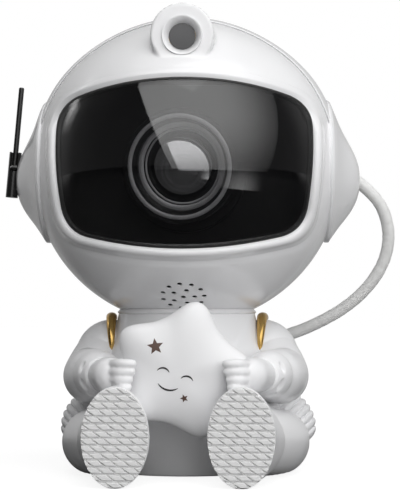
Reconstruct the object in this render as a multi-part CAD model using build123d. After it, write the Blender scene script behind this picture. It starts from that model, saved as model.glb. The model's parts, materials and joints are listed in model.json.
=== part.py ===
from build123d import *
import math
import os

# Star projector in the form of a seated figure in a space suit.
# Sizes are millimetres. +Z is up, the figure looks along -Y, the floor is Z = 0.
# Left and right are as seen from the front, so left is -X.

# Clearances
running_gap = 0.05   # radial, shaft in a bore
free_gap = 0.3       # between pieces that move past each other
fit_gap = 0.1        # between pieces that are only laid in place
cut_over = 1.0       # how far a cut runs past the face that it opens

# Body
body_height = 59.2
body_wall = 2.5
body_foot_radius = 33.0
body_belly_radius = 36.0
body_belly_z = 18.0
body_shoulder_radius = 28.5
body_shoulder_drop = 9.2
body_rim_radius = 25.8
pad_height = 0.8
base_plate_height = 2.2
base_screw_edge = 6.6   # from the foot of the body to the screw axis
base_screw_angle = 37.3
base_boss_radius = 3.5
base_boss_height = 11.0
base_web = 2.0

# Neck
neck_ring_radius = 26.0
neck_ring_height = 2.1
spigot_radius = 20.0
ring_step = 2.0
spigot_length = 10.5
socket_radius = 23.7
socket_flange = 2.2
socket_depth = 8.2
clip_height = 1.2
clip_width = 3.6
clip_groove = 1.2
magnet_radius = 10.0
magnet_height = 5.0
magnet_cover = 0.8

# Helmet
head_radius = 60.0
helmet_wall = 2.5
seam_y = -19.0
lip_height = 0.9
lip_width = 12.0
boss_edge = 9.8   # from the helmet's outside to the screw axis
boss_angle = 54.7
front_boss_radius = 3.2
rear_boss_radius = 4.4
screw_radius = 1.3
screw_head_radius = 2.4
screw_head_height = 1.8
screw_bite = 8.0
screw_seat = 5.0
head_plate_radius = 12.0
head_plate_height = 2.0

# Visor
visor_side_margin = 11.8
visor_side_bulge = 2.0
visor_top_margin = 30.7
visor_top_sag = 7.6
visor_bottom_margin = 28.3
visor_bottom_sag = 7.4
visor_corner_radius = 7.0
visor_thickness = 2.0
gasket_width = 0.9
bezel_width = 4.0
bezel_height = 1.4

# Crown lamp
crown_radius = 11.6
crown_drop = 17.1
crown_proud = 5.55
crown_tilt = 2.5
crown_flare = 1.8
crown_flare_length = 12.0
crown_rim_length = 6.0
countersink_radius = 7.2
countersink_depth = 2.0
window_radius = 4.9
window_thickness = 1.5
laser_radius = 6.0
laser_length = 20.0

# Ear caps
ear_radius = 28.3
ear_thickness = 1.8
ear_y = 8.5
ear_rise = 1.2
knob_radius = 15.0
knob_top_radius = 10.0
knob_drop = 8.0
knob_reach = 6.5
knob_length = 33.0
knob_edge = 2.5

# Antenna
antenna_base_radius = 2.4
antenna_base_above = 6.0
antenna_base_below = 12.0
antenna_rise = 1.0
antenna_lean = 5.0
antenna_length = 32.0
antenna_rod_radius = 1.05
antenna_slot = 2.8
antenna_pin_radius = 0.45
antenna_pin_recess = 0.25
antenna_knuckle_radius = 1.2
antenna_stub_radius = 1.6
antenna_stub_length = 5.0

# Speaker and its grille, in the underside of the helmet
grille_angle = 33.0
grille_hole_radius = 0.9
grille_inner_ring = 4.2
grille_inner_count = 5
grille_outer_ring = 7.7
grille_outer_count = 11
speaker_radius = 12.0
speaker_depth = 5.0
speaker_magnet_radius = 7.0
speaker_magnet_depth = 4.0

# Projector
lens_drop = 2.0
chassis_y = -8.0
chassis_thickness = 2.5
chassis_edge_gap = 0.4
chassis_foot_gap = 10.0
light_hole_radius = 9.0
wheel_teeth = 48
pinion_teeth = 12
gear_module = 1.0
gear_dedendum = 1.25
pressure_angle = 20.0
gear_backlash = 0.12
gear_thickness = 3.0
gear_standoff = 2.0
pinion_angle = -60.0
disc_radius = 20.5
disc_thickness = 1.6
hub_radius = 4.0
axle_radius = 1.5
axle_head = 1.0
axle_head_radius = 2.7
motor_radius = 7.5
motor_length = 14.0
motor_shaft_radius = 1.0
motor_end_wall = 2.0
motor_rim_gap = 5.42
barrel_radius = 21.0
barrel_wall = 2.0
barrel_length = 23.0
barrel_plate = 2.0
barrel_shelf = 9.0
post_radius = 3.0
post_gap = 2.5
post_low = 12.0
post_high = 18.0
post_margin = 4.5
outer_ring_width = 0.9
inner_ring_radius = 14.2
inner_ring_width = 0.9
ring_height = 0.7
dome_radius = 10.7
dome_height = 6.0
led_board_size = 24.0
board_thickness = 1.6
led_radius = 1.6
led_height = 0.8
led_spacing = 5.0
heat_sink_base = 2.5
heat_sink_depth = 12.0
heat_sink_fins = 6
fin_thickness = 1.4
main_board_width = 56.0
main_board_height = 46.0
main_post_inset = 4.0
main_post_length = 19.0
main_post_radius = 2.5
chip_height = 1.6
capacitor_height = 8.0
capacitor_radius = 3.2

# Star
star_points = 5
star_radius = 27.3
star_inner_radius = 19.3
star_lean = 75.0
star_tip_fillet = 5.0
star_notch_fillet = 6.0
star_edge_fillet = 4.0
star_z = 40.0
star_front_y = -62.0
star_half_thickness = 6.5
star_wall = 2.0
star_stem_radius = 6.0

# Limbs, given for the right side
shoulder_out = 3.0
shoulder_drop = 12.7
shoulder = (body_shoulder_radius + shoulder_out, 1.0, body_height - shoulder_drop)
elbow = (37.2, -10.0, star_z - 2.4)
wrist = (33.6, -42.0, star_z - 2.0)
shoulder_radius = 12.0
elbow_radius = 9.4
wrist_radius = 8.2
cuff_radius = 8.6
cuff_length = 3.0
palm = (28.5, -56.0, star_z - 1.4)
palm_radius = 7.4
finger_radius = 2.3
finger_count = 4
finger_pitch = 2.9
finger_root_x = 30.0
finger_tip_x = 18.5
finger_low = 6.0
finger_proud = 1.6
hip_sink = 3.0
hip = (body_belly_radius - hip_sink, -2.0, 14.2)
hip_radius = 14.0
ankle = (24.3, -50.0, 14.2)
ankle_radius = 12.2
sole_x = 22.0
sole_width = 23.4
sole_height = 34.7
sole_front_y = -76.0
sole_thickness = 4.0
tread_depth = 0.6
tread_groove = 0.5
tread_pitch = 2.45
tread_slant = 34.0
tread_slant_pitch = 2.4
trim_inset = 2.1
trim_radius = 1.7
trim_start = -8.0
trim_sweep = 118.0
bellows_out = 1.5
bellows_center = (body_belly_radius + bellows_out, 14.0, 18.2)
bellows_slope = 40.0
bellows_half_length = 12.4
bellows_radius = 9.8
bellows_ribs = 8
bellows_groove = 0.9

# Backpack
pack_half_width = 25.0
pack_front_y = 18.0
pack_rear_y = 48.0
pack_low_z = 17.0
pack_drop = 4.2
pack_wall = 2.0
pack_edge_fillet = 5.0
button_radius = 3.6
button_flange = 0.9
button_flange_height = 1.8
button_proud = 1.2
button_travel = 0.7
button_stem_radius = 1.5
button_stem_length = 2.2
button_pitch = 10.0
button_count = 3
switch_size = 6.0
switch_height = 2.4
button_board_width = 34.0
button_board_gap = 1.0
button_post_inset = 3.5
button_post_radius = 2.4

# Power inlet
inlet_width = 9.0
inlet_height = 3.4
inlet_depth = 8.0
inlet_z = 9.0
inlet_wall = 0.5
inlet_tongue_width = 5.3
inlet_tongue_height = 0.8

# Hose, as corners of its centre line from the right ear cap to the backpack
hose_radius = 2.4
hose_socket_radius = 3.3
hose_socket_length = 7.0
hose_arc_share = 0.45   # of the shorter run beside a corner
hose_points = [
    (68.6, 12.4, 111.4),
    (74.2, 13.6, 106.8),
    (78.3, 15.6, 100.0),
    (80.2, 18.0, 90.5),
    (78.2, 20.4, 80.6),
    (72.4, 23.0, 71.2),
    (63.6, 25.4, 63.0),
    (52.6, 27.6, 56.6),
    (40.6, 29.8, 51.6),
    (29.5, 31.5, 48.4),
]

# Places that follow from the sizes above
neck_base_z = body_height + free_gap
neck_top_z = neck_base_z + neck_ring_height
head_z = neck_top_z + math.sqrt((head_radius + free_gap) ** 2 - neck_ring_radius ** 2)
head_inside = head_radius - helmet_wall
boss_circle = head_radius - boss_edge
boss_x = boss_circle * math.cos(math.radians(boss_angle))
boss_z = boss_circle * math.sin(math.radians(boss_angle))
visor_half_width = head_radius - visor_side_margin
visor_top = head_radius - visor_top_margin
visor_bottom = visor_bottom_margin - head_radius
crown_rise = head_radius - crown_drop
crown_front = math.sqrt(head_radius ** 2 - crown_rise ** 2) + crown_proud
base_screw_circle = body_foot_radius - base_screw_edge
base_screw_x = base_screw_circle * math.cos(math.radians(base_screw_angle))
base_screw_y = base_screw_circle * math.sin(math.radians(base_screw_angle))
lens_z = head_z - lens_drop
chassis_rear_y = chassis_y + chassis_thickness
wheel_rear_y = chassis_y - gear_standoff
wheel_front_y = wheel_rear_y - gear_thickness
wheel_tip_radius = gear_module * (wheel_teeth / 2 + 1)
gear_distance = gear_module * (wheel_teeth + pinion_teeth) / 2
pinion_x = gear_distance * math.cos(math.radians(pinion_angle))
motor_circle = head_inside - motor_radius - motor_rim_gap
pinion_z = head_z - math.sqrt(motor_circle ** 2 - pinion_x ** 2)
wheel_z = pinion_z - gear_distance * math.sin(math.radians(pinion_angle))
post_x = wheel_tip_radius + post_radius + post_gap
barrel_rear_y = wheel_front_y - gear_standoff
barrel_front_y = barrel_rear_y - barrel_plate - barrel_length
shelf_y = barrel_front_y + barrel_shelf
star_seam_y = star_front_y + star_half_thickness
star_back_y = star_seam_y + star_half_thickness
finger_y = star_front_y - finger_proud
finger_low_z = star_z - finger_low
sole_z = sole_height / 2 + fit_gap
trim_x = shoulder[0] - trim_inset
pack_high_z = body_height - pack_drop
knob_x = head_radius + knob_reach
ear_z = head_z + ear_rise
knob_z = ear_z - knob_drop
antenna_x = -(knob_x + antenna_base_radius + fit_gap)
antenna_z = ear_z + antenna_rise - fit_gap
pack_inside_y = pack_rear_y - pack_wall
flange_rear_y = pack_inside_y - fit_gap
stem_end_y = flange_rear_y - button_flange_height - button_stem_length
button_board_y = stem_end_y - button_travel - fit_gap - switch_height
button_board_z = (pack_low_z + pack_high_z) / 2
button_low_z = button_board_z - button_pitch * (button_count - 1) / 2
button_board_height = pack_high_z - pack_low_z - 2 * (pack_wall + button_board_gap)
reach = 4 * head_radius   # longer than any piece, for cutting solids

crown_frame = Pos(0, 0, head_z + crown_rise) * Rot(X=90 - crown_tilt)
grille_frame = Pos(0, 0, head_z) * Rot(X=-grille_angle)
antenna_frame = Pos(antenna_x, ear_y, antenna_z) * Rot(Y=antenna_lean)
boss_places = [(sx * boss_x, sz * boss_z) for sx in (-1, 1) for sz in (-1, 1)]
base_screw_places = [(sx * base_screw_x, sy * base_screw_y) for sx in (-1, 1) for sy in (-1, 1)]


def rod_y(x, z, y_from, y_to, radius):
    """Cylinder along Y."""
    return Pos(x, (y_from + y_to) / 2, z) * Rot(X=90) * Cylinder(radius, abs(y_to - y_from))


def rod_z(x, y, z_from, z_to, radius):
    """Cylinder along Z."""
    return Pos(x, y, (z_from + z_to) / 2) * Cylinder(radius, abs(z_to - z_from))


def block(low, high):
    """Box between two opposite corners."""
    size = [b - a for a, b in zip(low, high)]
    middle = [(a + b) / 2 for a, b in zip(low, high)]
    return Pos(*middle) * Box(*size)


def slab_y(y_from, y_to):
    """Everything between two Y planes."""
    return block((-reach, y_from, -reach), (reach, y_to, reach))


def slab_z(z_from, z_to):
    """Everything between two Z planes."""
    return block((-reach, -reach, z_from), (reach, reach, z_to))


def ball(radius):
    """Ball about the centre of the helmet."""
    return Pos(0, 0, head_z) * Sphere(radius)


def turned_z(points):
    """Turned piece about Z from its (radius, height) outline."""
    outline = make_face(Polyline(*[(r, 0, z) for r, z in points], close=True))
    return revolve(outline, Axis.Z)


def turned_y(points, x=0, z=0):
    """Turned piece about a line along Y from its (radius, y) outline."""
    outline = make_face(Polyline(*points, close=True))
    return Pos(x, 0, z) * revolve(outline, Axis.Y)


def limb(start, end, start_radius, end_radius):
    """Tapered round bar with a flat end at each point."""
    plane = Plane(origin=start, z_dir=Vector(end) - Vector(start))
    length = (Vector(end) - Vector(start)).length
    from_start = (Align.CENTER, Align.CENTER, Align.MIN)
    if start_radius == end_radius:
        return plane * Cylinder(start_radius, length, align=from_start)
    return plane * Cone(start_radius, end_radius, length, align=from_start)


def knuckle(point, radius):
    """Ball at a point."""
    return Pos(*point) * Sphere(radius)


def both_sides(name, form, cutter=None):
    """The right-hand piece and its mirror image under their names, both cut by one shape."""
    pair = {name + "_right": form, name + "_left": mirror(form, about=Plane.YZ)}
    if cutter:
        pair = {key: piece - cutter for key, piece in pair.items()}
    return pair


# Body ---------------------------------------------------------------

def side_curve(inset):
    """Curve of the body's side from its foot to its shoulder, made smaller by an inset."""
    foot = (body_foot_radius - inset, 0, pad_height)
    belly = (body_belly_radius - inset, 0, body_belly_z)
    return ThreePointArc(foot, belly, (body_shoulder_radius - inset, 0, body_height - body_shoulder_drop))


def torso(inset):
    """Round body with its flat top, made smaller on all sides by an inset."""
    side = side_curve(inset)
    floor = pad_height
    top = body_height - inset
    rim = (body_rim_radius - inset, 0, top)
    outline = [
        Line((0, 0, floor), side @ 0),
        side,
        Line(side @ 1, rim),
        Line(rim, (0, 0, top)),
        Line((0, 0, top), (0, 0, floor)),
    ]
    return revolve(make_face(outline), Axis.Z)


def base_bosses():
    """Screw bosses that stand on the base plate inside the body."""
    bosses = Part()
    low = pad_height + base_plate_height
    high = low + base_boss_height
    for x, y in base_screw_places:
        bosses += rod_z(x, y, low, high, base_boss_radius)
        web_end = math.copysign(body_belly_radius, x)
        bosses += block((min(x, web_end), y - base_web / 2, low), (max(x, web_end), y + base_web / 2, high))
    return bosses & torso(body_wall / 2)


def body_shell():
    """Hollow body with its neck opening and screw bosses."""
    shell = torso(0) - torso(body_wall) + base_bosses()
    shell -= rod_z(0, 0, body_height - 2 * body_wall, body_height + cut_over, socket_radius)
    screw_top = pad_height + base_screw_length()
    for x, y in base_screw_places:
        shell -= rod_z(x, y, 0, screw_top, screw_radius)
    return shell


def base_screw_length():
    """Length of a base screw from the underside of the plate."""
    return base_plate_height + screw_bite


def body_front_shell():
    return body_shell() & slab_y(-reach, 0)


def body_rear_shell():
    return body_shell() & slab_y(0, reach) - inlet_block()


def base_plate():
    """Plate that closes the body from below, with sunk screw holes."""
    low = pad_height
    plate = rod_z(0, 0, low, low + base_plate_height, body_foot_radius - body_wall - fit_gap)
    for x, y in base_screw_places:
        plate -= rod_z(x, y, low, low + base_plate_height, screw_radius)
        plate -= rod_z(x, y, low, low + screw_head_height, screw_head_radius)
    return plate


def base_pad():
    return rod_z(0, 0, 0, pad_height, body_foot_radius - body_wall)


def base_screws():
    screws = Part()
    for x, y in base_screw_places:
        screw = rod_z(x, y, pad_height, pad_height + base_screw_length(), screw_radius)
        screws += screw + rod_z(x, y, pad_height, pad_height + screw_head_height, screw_head_radius)
    return screws


def inlet_rear_y():
    """How far back the body reaches at the height of the power inlet."""
    side = side_curve(0)
    rise = inlet_z - side.arc_center.Z
    return side.arc_center.X + math.sqrt(side.radius ** 2 - rise ** 2)


def inlet_block():
    """Space that the power inlet takes up in the rear wall."""
    half = inlet_width / 2
    rear = inlet_rear_y() + inlet_wall
    low = (-half, rear - inlet_depth, inlet_z - inlet_height / 2)
    high = (half, rear, inlet_z + inlet_height / 2)
    return block(low, high) & torso(0)


def power_inlet():
    """Metal socket with a tongue inside."""
    half = inlet_width / 2 - inlet_wall
    tall = inlet_height / 2 - inlet_wall
    rear = inlet_rear_y() + inlet_wall
    back = rear - inlet_depth + inlet_wall
    cavity = block((-half, back, inlet_z - tall), (half, rear, inlet_z + tall))
    side_x = inlet_tongue_width / 2
    side_z = inlet_tongue_height / 2
    tongue = block((-side_x, back, inlet_z - side_z), (side_x, rear - inlet_depth / 2, inlet_z + side_z))
    return inlet_block() - cavity + tongue


# Neck ---------------------------------------------------------------

def neck_socket():
    """Fixed bush in the top of the body."""
    top = body_height - ring_step - free_gap
    low = body_height - socket_depth
    flange_top = body_height - body_wall
    flange = rod_z(0, 0, flange_top - socket_flange, flange_top, body_shoulder_radius)
    bush = rod_z(0, 0, low, top, socket_radius) + (flange & torso(body_wall))
    return bush - rod_z(0, 0, low, top, spigot_radius + running_gap)


def clip_low_z():
    """Underside of the clip that holds the neck ring down."""
    return body_height - socket_depth - free_gap - clip_height


def neck_ring():
    """Turning ring with a hollow seat for the helmet and a spigot below."""
    low = neck_base_z - spigot_length
    step_z = body_height - ring_step
    step_radius = socket_radius - free_gap
    outline = [
        (0, low),
        (spigot_radius, low),
        (spigot_radius, step_z),
        (step_radius, step_z),
        (step_radius, neck_base_z),
        (neck_ring_radius, neck_base_z),
        (neck_ring_radius, neck_top_z + cut_over),
        (0, neck_top_z + cut_over),
    ]
    ring = turned_z(outline) - ball(head_radius + free_gap) - neck_clip()
    return ring - rod_z(0, 0, low, magnet_top_z(), magnet_radius)


def neck_clip():
    """Flat ring in the groove of the spigot, under the bush."""
    low = clip_low_z()
    outer = spigot_radius - clip_groove + clip_width
    ring = rod_z(0, 0, low, low + clip_height, outer)
    return ring - rod_z(0, 0, low, low + clip_height, spigot_radius - clip_groove)


def magnet_top_z():
    return head_z - head_radius - free_gap - magnet_cover


def neck_magnet():
    return rod_z(0, 0, magnet_top_z() - magnet_height, magnet_top_z(), magnet_radius)


# Helmet -------------------------------------------------------------

def visor_prism(grow):
    """Visor opening, grown on all sides, as a prism towards the front."""
    side_x = visor_half_width + grow
    corner_x = side_x - visor_side_bulge
    top_z = visor_top - visor_top_sag + grow
    low_z = visor_bottom + visor_bottom_sag - grow
    middle_z = (top_z + low_z) / 2
    edges = [
        ThreePointArc((-corner_x, top_z), (0, visor_top + grow), (corner_x, top_z)),
        ThreePointArc((corner_x, top_z), (side_x, middle_z), (corner_x, low_z)),
        ThreePointArc((corner_x, low_z), (0, visor_bottom - grow), (-corner_x, low_z)),
        ThreePointArc((-corner_x, low_z), (-side_x, middle_z), (-corner_x, top_z)),
    ]
    outline = make_face(edges)
    outline = fillet(outline.vertices(), visor_corner_radius + grow)
    return Pos(0, 0, head_z) * (Plane.XZ * extrude(outline, head_radius + crown_front))


def head_layer(outer, inner):
    """Round shell about the centre of the helmet."""
    return ball(outer) - ball(inner)


def curved_sheet(prism, outer, inner):
    """The part of a round shell that lies in a prism."""
    return (prism & ball(outer)) - ball(inner)


def grille_holes():
    """One hole in the middle and two rings around it."""
    places = [(0, 0)]
    for ring, count in ((grille_inner_ring, grille_inner_count), (grille_outer_ring, grille_outer_count)):
        for i in range(count):
            turn = 2 * math.pi * i / count
            places.append((ring * math.cos(turn), ring * math.sin(turn)))
    holes = Part()
    for x, y in places:
        holes += Pos(x, y, -head_radius) * Cylinder(grille_hole_radius, 6 * helmet_wall)
    return grille_frame * holes


def crown_boss():
    """Lamp housing on the forehead, flared into the helmet."""
    tube = Pos(0, 0, crown_front / 2) * Cylinder(crown_radius, crown_front)
    flare_end = crown_front - crown_rim_length
    flare = Cone(crown_radius + crown_flare, crown_radius, crown_flare_length)
    flare = Pos(0, 0, flare_end - crown_flare_length / 2) * flare
    boss = crown_frame * (tube + flare) & slab_y(-reach, seam_y)
    return boss - ball(head_radius - helmet_wall / 2)


def crown_bores():
    """Countersink, window bore and the pocket for the laser behind them."""
    rim = crown_front - countersink_depth / 2
    sink = Pos(0, 0, rim) * Cone(window_radius, countersink_radius, countersink_depth)
    bore = Pos(0, 0, crown_front / 2) * Cylinder(window_radius, crown_front)
    pocket_end = crown_front - crown_rim_length
    pocket = Pos(0, 0, pocket_end / 2) * Cylinder(laser_radius, pocket_end)
    return crown_frame * (sink + bore + pocket)


def helmet_front_shell():
    shell = head_layer(head_radius, head_inside) & slab_y(-reach, seam_y)
    bosses = Part()
    for x, z in boss_places:
        bosses += rod_y(x, head_z + z, chassis_y, -head_radius, front_boss_radius)
    shell += bosses & ball(head_radius - helmet_wall / 2)
    shell = shell - visor_prism(0) + crown_boss() - crown_bores() - grille_holes()
    for x, z in boss_places:
        shell -= rod_y(x, head_z + z, chassis_y, chassis_y - screw_bite, screw_radius)
    return shell


def helmet_rear_shell():
    """Rear shell with its raised front edge and four screw wells."""
    shell = head_layer(head_radius, head_inside) & slab_y(seam_y, reach)
    bosses = Part()
    for x, z in boss_places:
        bosses += rod_y(x, head_z + z, chassis_rear_y, head_radius, rear_boss_radius)
    shell += bosses & ball(head_radius - helmet_wall / 2)
    lip = head_layer(head_radius + lip_height, head_radius - helmet_wall / 2)
    lip = lip & slab_y(seam_y, seam_y + lip_width) & slab_z(ear_z, reach)
    shell += lip - ear_cylinder()
    for x, z in boss_places:
        shell -= rod_y(x, head_z + z, chassis_rear_y, head_radius, screw_radius + fit_gap)
        shell -= rod_y(x, head_z + z, screw_seat_y(), head_radius, screw_head_radius + free_gap)
    return shell


def ear_cylinder():
    """Both ear cap circles, right through the helmet."""
    return Pos(0, ear_y, ear_z) * Rot(Y=90) * Cylinder(ear_radius, reach)


def screw_seat_y():
    """Where the heads of the helmet screws bear."""
    return chassis_rear_y + screw_seat


def helmet_screws():
    screws = Part()
    for x, z in boss_places:
        z += head_z
        screw = rod_y(x, z, chassis_y - screw_bite, screw_seat_y(), screw_radius)
        screws += screw + rod_y(x, z, screw_seat_y(), screw_seat_y() + screw_head_height, screw_head_radius)
    return screws


def visor():
    """Smoked window, a curved sheet a little smaller than its opening."""
    return curved_sheet(visor_prism(-gasket_width), head_radius, head_radius - visor_thickness)


def visor_gasket():
    ring = visor_prism(0) - visor_prism(-gasket_width)
    return curved_sheet(ring, head_radius + bezel_height / 2, head_inside)


def visor_bezel():
    ring = visor_prism(bezel_width) - visor_prism(0)
    return curved_sheet(ring, head_radius + bezel_height, head_radius)


def crown_window():
    seat = crown_front - countersink_depth - window_thickness / 2
    return crown_frame * Pos(0, 0, seat) * Cylinder(window_radius, window_thickness)


def laser_module():
    seat = crown_front - crown_rim_length - laser_length / 2
    return crown_frame * Pos(0, 0, seat) * Cylinder(laser_radius, laser_length)


def head_plate():
    """Steel disc in the bottom of the helmet, over the neck magnet."""
    low = head_z - math.sqrt(head_inside ** 2 - head_plate_radius ** 2) + running_gap
    return rod_z(0, 0, low, low + head_plate_height, head_plate_radius)


# Ear caps and antenna -----------------------------------------------

def ear_cap():
    """Round cap on the right side with a knob below its middle."""
    flange = head_layer(head_radius + ear_thickness, head_radius) & ear_cylinder()
    flange = flange & block((0, -reach, -reach), (reach, reach, reach))
    knob = Cone(knob_radius, knob_top_radius, knob_length)
    knob = fillet(knob.edges().sort_by(Axis.Z)[-1], knob_edge)
    knob = Pos(knob_x - knob_length / 2, ear_y, knob_z) * Rot(Y=90) * knob
    return flange + (knob - ball(head_radius))


def ear_cap_right():
    """Right cap, with the socket that the hose comes out of."""
    return ear_cap() + (hose_socket(hose_points[0], hose_points[1]) - ball(head_radius))


def ear_cap_left():
    """Left cap, with a hole for the foot of the antenna."""
    return mirror(ear_cap(), about=Plane.YZ) - antenna_stub()


def antenna_stub():
    """Foot that carries the antenna base on the ear cap."""
    foot = rod_z(0, 0, 0, antenna_stub_length + antenna_base_radius, antenna_stub_radius)
    return Pos(antenna_x, ear_y, knob_z) * Rot(Y=90) * foot


def antenna_base():
    """Round post with a slot that the rod folds out of."""
    low = rod_z(0, 0, -antenna_base_below, antenna_base_above, antenna_base_radius)
    half = antenna_slot / 2
    depth = antenna_knuckle_radius + free_gap
    slot_low = (-half, -antenna_base_radius - cut_over, -depth)
    slot = block(slot_low, (half, depth, antenna_base_above + cut_over))
    pin = Rot(Y=90) * Cylinder(antenna_pin_radius, reach)
    return antenna_frame * (low - slot - pin) + (antenna_stub() - antenna_frame * low)


def antenna_pin():
    length = 2 * (antenna_base_radius - antenna_pin_recess)
    return antenna_frame * Rot(Y=90) * Cylinder(antenna_pin_radius, length)


def antenna_rod():
    rod = rod_z(0, 0, 0, antenna_length, antenna_rod_radius)
    rod = fillet(rod.edges().sort_by(Axis.Z)[-1], antenna_rod_radius / 2)
    eye = Rot(Y=90) * Cylinder(antenna_knuckle_radius, antenna_slot - 2 * free_gap)
    pin_hole = Rot(Y=90) * Cylinder(antenna_pin_radius + running_gap, antenna_slot)
    return antenna_frame * (rod + eye - pin_hole)


# Speaker ------------------------------------------------------------

def speaker():
    """Round speaker behind the grille."""
    face = math.sqrt(head_inside ** 2 - speaker_radius ** 2) - running_gap
    frame = rod_z(0, 0, -face, -face + speaker_depth, speaker_radius)
    back = -face + speaker_depth
    return grille_frame * (frame + rod_z(0, 0, back, back + speaker_magnet_depth, speaker_magnet_radius))


# Projector ----------------------------------------------------------

def gear_outline(teeth):
    """Corners of a spur gear with involute flanks, one tooth on +X."""
    pitch = gear_module * teeth / 2
    slope = math.radians(pressure_angle)
    base = pitch * math.cos(slope)
    radii = [pitch - gear_dedendum * gear_module, base, pitch, pitch + gear_module]
    half_tooth = math.pi / (2 * teeth) - gear_backlash / (2 * pitch)
    at_pitch = math.tan(slope) - slope
    flank = []
    for radius in radii:
        pressure = math.acos(min(1, base / radius))
        flank.append((radius, half_tooth + at_pitch - (math.tan(pressure) - pressure)))
    corners = []
    for i in range(teeth):
        middle = 2 * math.pi * i / teeth
        corners += [(r, middle - half) for r, half in flank]
        corners += [(r, middle + half) for r, half in reversed(flank)]
    return [(r * math.cos(turn), r * math.sin(turn)) for r, turn in corners]


def gear(teeth, turn, x, z):
    """Spur gear across Y, turned so that a tooth points along an angle in degrees."""
    outline = make_face(Polyline(*gear_outline(teeth), close=True))
    wheel = extrude(outline, gear_thickness)
    return Pos(x, wheel_rear_y, z) * Rot(X=90) * Rot(Z=turn) * wheel


def wheel_gear():
    ring = gear(wheel_teeth, pinion_angle, 0, wheel_z)
    return ring - rod_y(0, wheel_z, wheel_rear_y, wheel_front_y, disc_radius)


def nebula_disc():
    """Patterned glass wheel with its hub."""
    middle = (wheel_rear_y + wheel_front_y) / 2
    disc = rod_y(0, wheel_z, middle - disc_thickness / 2, middle + disc_thickness / 2, disc_radius)
    hub = rod_y(0, wheel_z, wheel_rear_y, wheel_front_y, hub_radius)
    return disc + hub - rod_y(0, wheel_z, wheel_rear_y, wheel_front_y, axle_radius + running_gap)


def wheel_axle():
    """Fixed pin in the chassis with a head in front of the wheel."""
    front = wheel_front_y - free_gap
    pin = rod_y(0, wheel_z, chassis_rear_y, front, axle_radius)
    collar = rod_y(0, wheel_z, chassis_y, wheel_rear_y + free_gap, hub_radius)
    head = rod_y(0, wheel_z, front, front - axle_head, axle_head_radius)
    return pin + head + collar


def motor_pinion():
    """Small gear with its shaft."""
    turn = pinion_angle + 180 + 180 / pinion_teeth
    shaft_end = chassis_rear_y + motor_length - motor_end_wall - fit_gap
    shaft = rod_y(pinion_x, pinion_z, wheel_front_y, shaft_end, motor_shaft_radius)
    return gear(pinion_teeth, turn, pinion_x, pinion_z) + shaft


def wheel_motor():
    rear = chassis_rear_y + motor_length
    bore_radius = motor_shaft_radius + running_gap
    body = rod_y(pinion_x, pinion_z, chassis_rear_y, rear, motor_radius)
    return body - rod_y(pinion_x, pinion_z, chassis_rear_y, rear - motor_end_wall, bore_radius)


def main_post_places():
    x = main_board_width / 2 - main_post_inset
    z = main_board_height / 2 - main_post_inset
    return [(sx * x, lens_z + sz * z) for sx in (-1, 1) for sz in (-1, 1)]


def optics_chassis():
    """Round plate across the helmet that carries the projector."""
    edge = math.sqrt(head_inside ** 2 - chassis_y ** 2) - chassis_edge_gap
    foot_z = head_z - head_radius + chassis_foot_gap
    plate = rod_y(0, head_z, chassis_y, chassis_rear_y, edge) & slab_z(foot_z, reach)
    plate -= rod_y(0, lens_z, chassis_y, chassis_rear_y, light_hole_radius)
    plate -= rod_y(0, wheel_z, chassis_y, chassis_rear_y, axle_radius)
    plate -= rod_y(pinion_x, pinion_z, chassis_y, chassis_rear_y, motor_shaft_radius + free_gap)
    for x, z in boss_places:
        plate -= rod_y(x, head_z + z, chassis_y, chassis_rear_y, screw_radius)
    for x, z in main_post_places():
        plate += rod_y(x, z, chassis_rear_y, chassis_rear_y + main_post_length, main_post_radius)
    return plate


def led_board():
    """Square board with four light chips facing the wheel."""
    half = led_board_size / 2
    board = block((-half, chassis_rear_y, lens_z - half), (half, chassis_rear_y + board_thickness, lens_z + half))
    for sx in (-1, 1):
        for sz in (-1, 1):
            x = sx * led_spacing / 2
            z = lens_z + sz * led_spacing / 2
            board += rod_y(x, z, chassis_rear_y, chassis_rear_y - led_height, led_radius)
    return board


def heat_sink():
    """Finned block behind the light board."""
    half = led_board_size / 2
    front = chassis_rear_y + board_thickness
    base = front + heat_sink_base
    sink = block((-half, front, lens_z - half), (half, base, lens_z + half))
    step = (led_board_size - fin_thickness) / (heat_sink_fins - 1)
    for i in range(heat_sink_fins):
        x = -half + i * step
        sink += block((x, base, lens_z - half), (x + fin_thickness, front + heat_sink_depth, lens_z + half))
    return sink


def main_board():
    """Control board on the posts of the chassis, with its larger parts."""
    front = chassis_rear_y + main_post_length
    rear = front + board_thickness
    half = main_board_width / 2
    tall = main_board_height / 2
    board = block((-half, front, lens_z - tall), (half, rear, lens_z + tall))
    board += block((-half / 2, rear, lens_z), (0, rear + chip_height, lens_z + tall / 2))
    return board + rod_y(half / 2, lens_z - tall / 2, rear, rear + capacitor_height, capacitor_radius)


def post_places():
    return [(sx * post_x, lens_z + dz) for sx in (-1, 1) for dz in (-post_low, post_high)]


def lens_barrel():
    """Black tube in front of the wheel, on a plate with four posts."""
    inner = barrel_radius - barrel_wall
    half = post_x + post_margin
    front = barrel_rear_y - barrel_plate
    plate = block((-half, front, lens_z - barrel_radius), (half, barrel_rear_y, lens_z + barrel_radius))
    plate -= rod_y(0, lens_z, front, barrel_rear_y, dome_radius)
    for x, z in post_places():
        plate += rod_y(x, z, barrel_rear_y, chassis_y, post_radius)
    tube = [
        (inner, front),
        (barrel_radius, front),
        (barrel_radius, barrel_front_y),
        (inner, barrel_front_y),
        (inner_ring_radius, shelf_y - barrel_wall),
        (dome_radius, shelf_y - barrel_wall),
        (dome_radius, shelf_y),
        (inner, shelf_y),
    ]
    return plate + turned_y(tube, z=lens_z)


def ring_at(outer, width, y_rear):
    """Thin bright ring around the lens axis."""
    ring = rod_y(0, lens_z, y_rear, y_rear - ring_height, outer)
    return ring - rod_y(0, lens_z, y_rear, y_rear - ring_height, outer - width)


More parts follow.
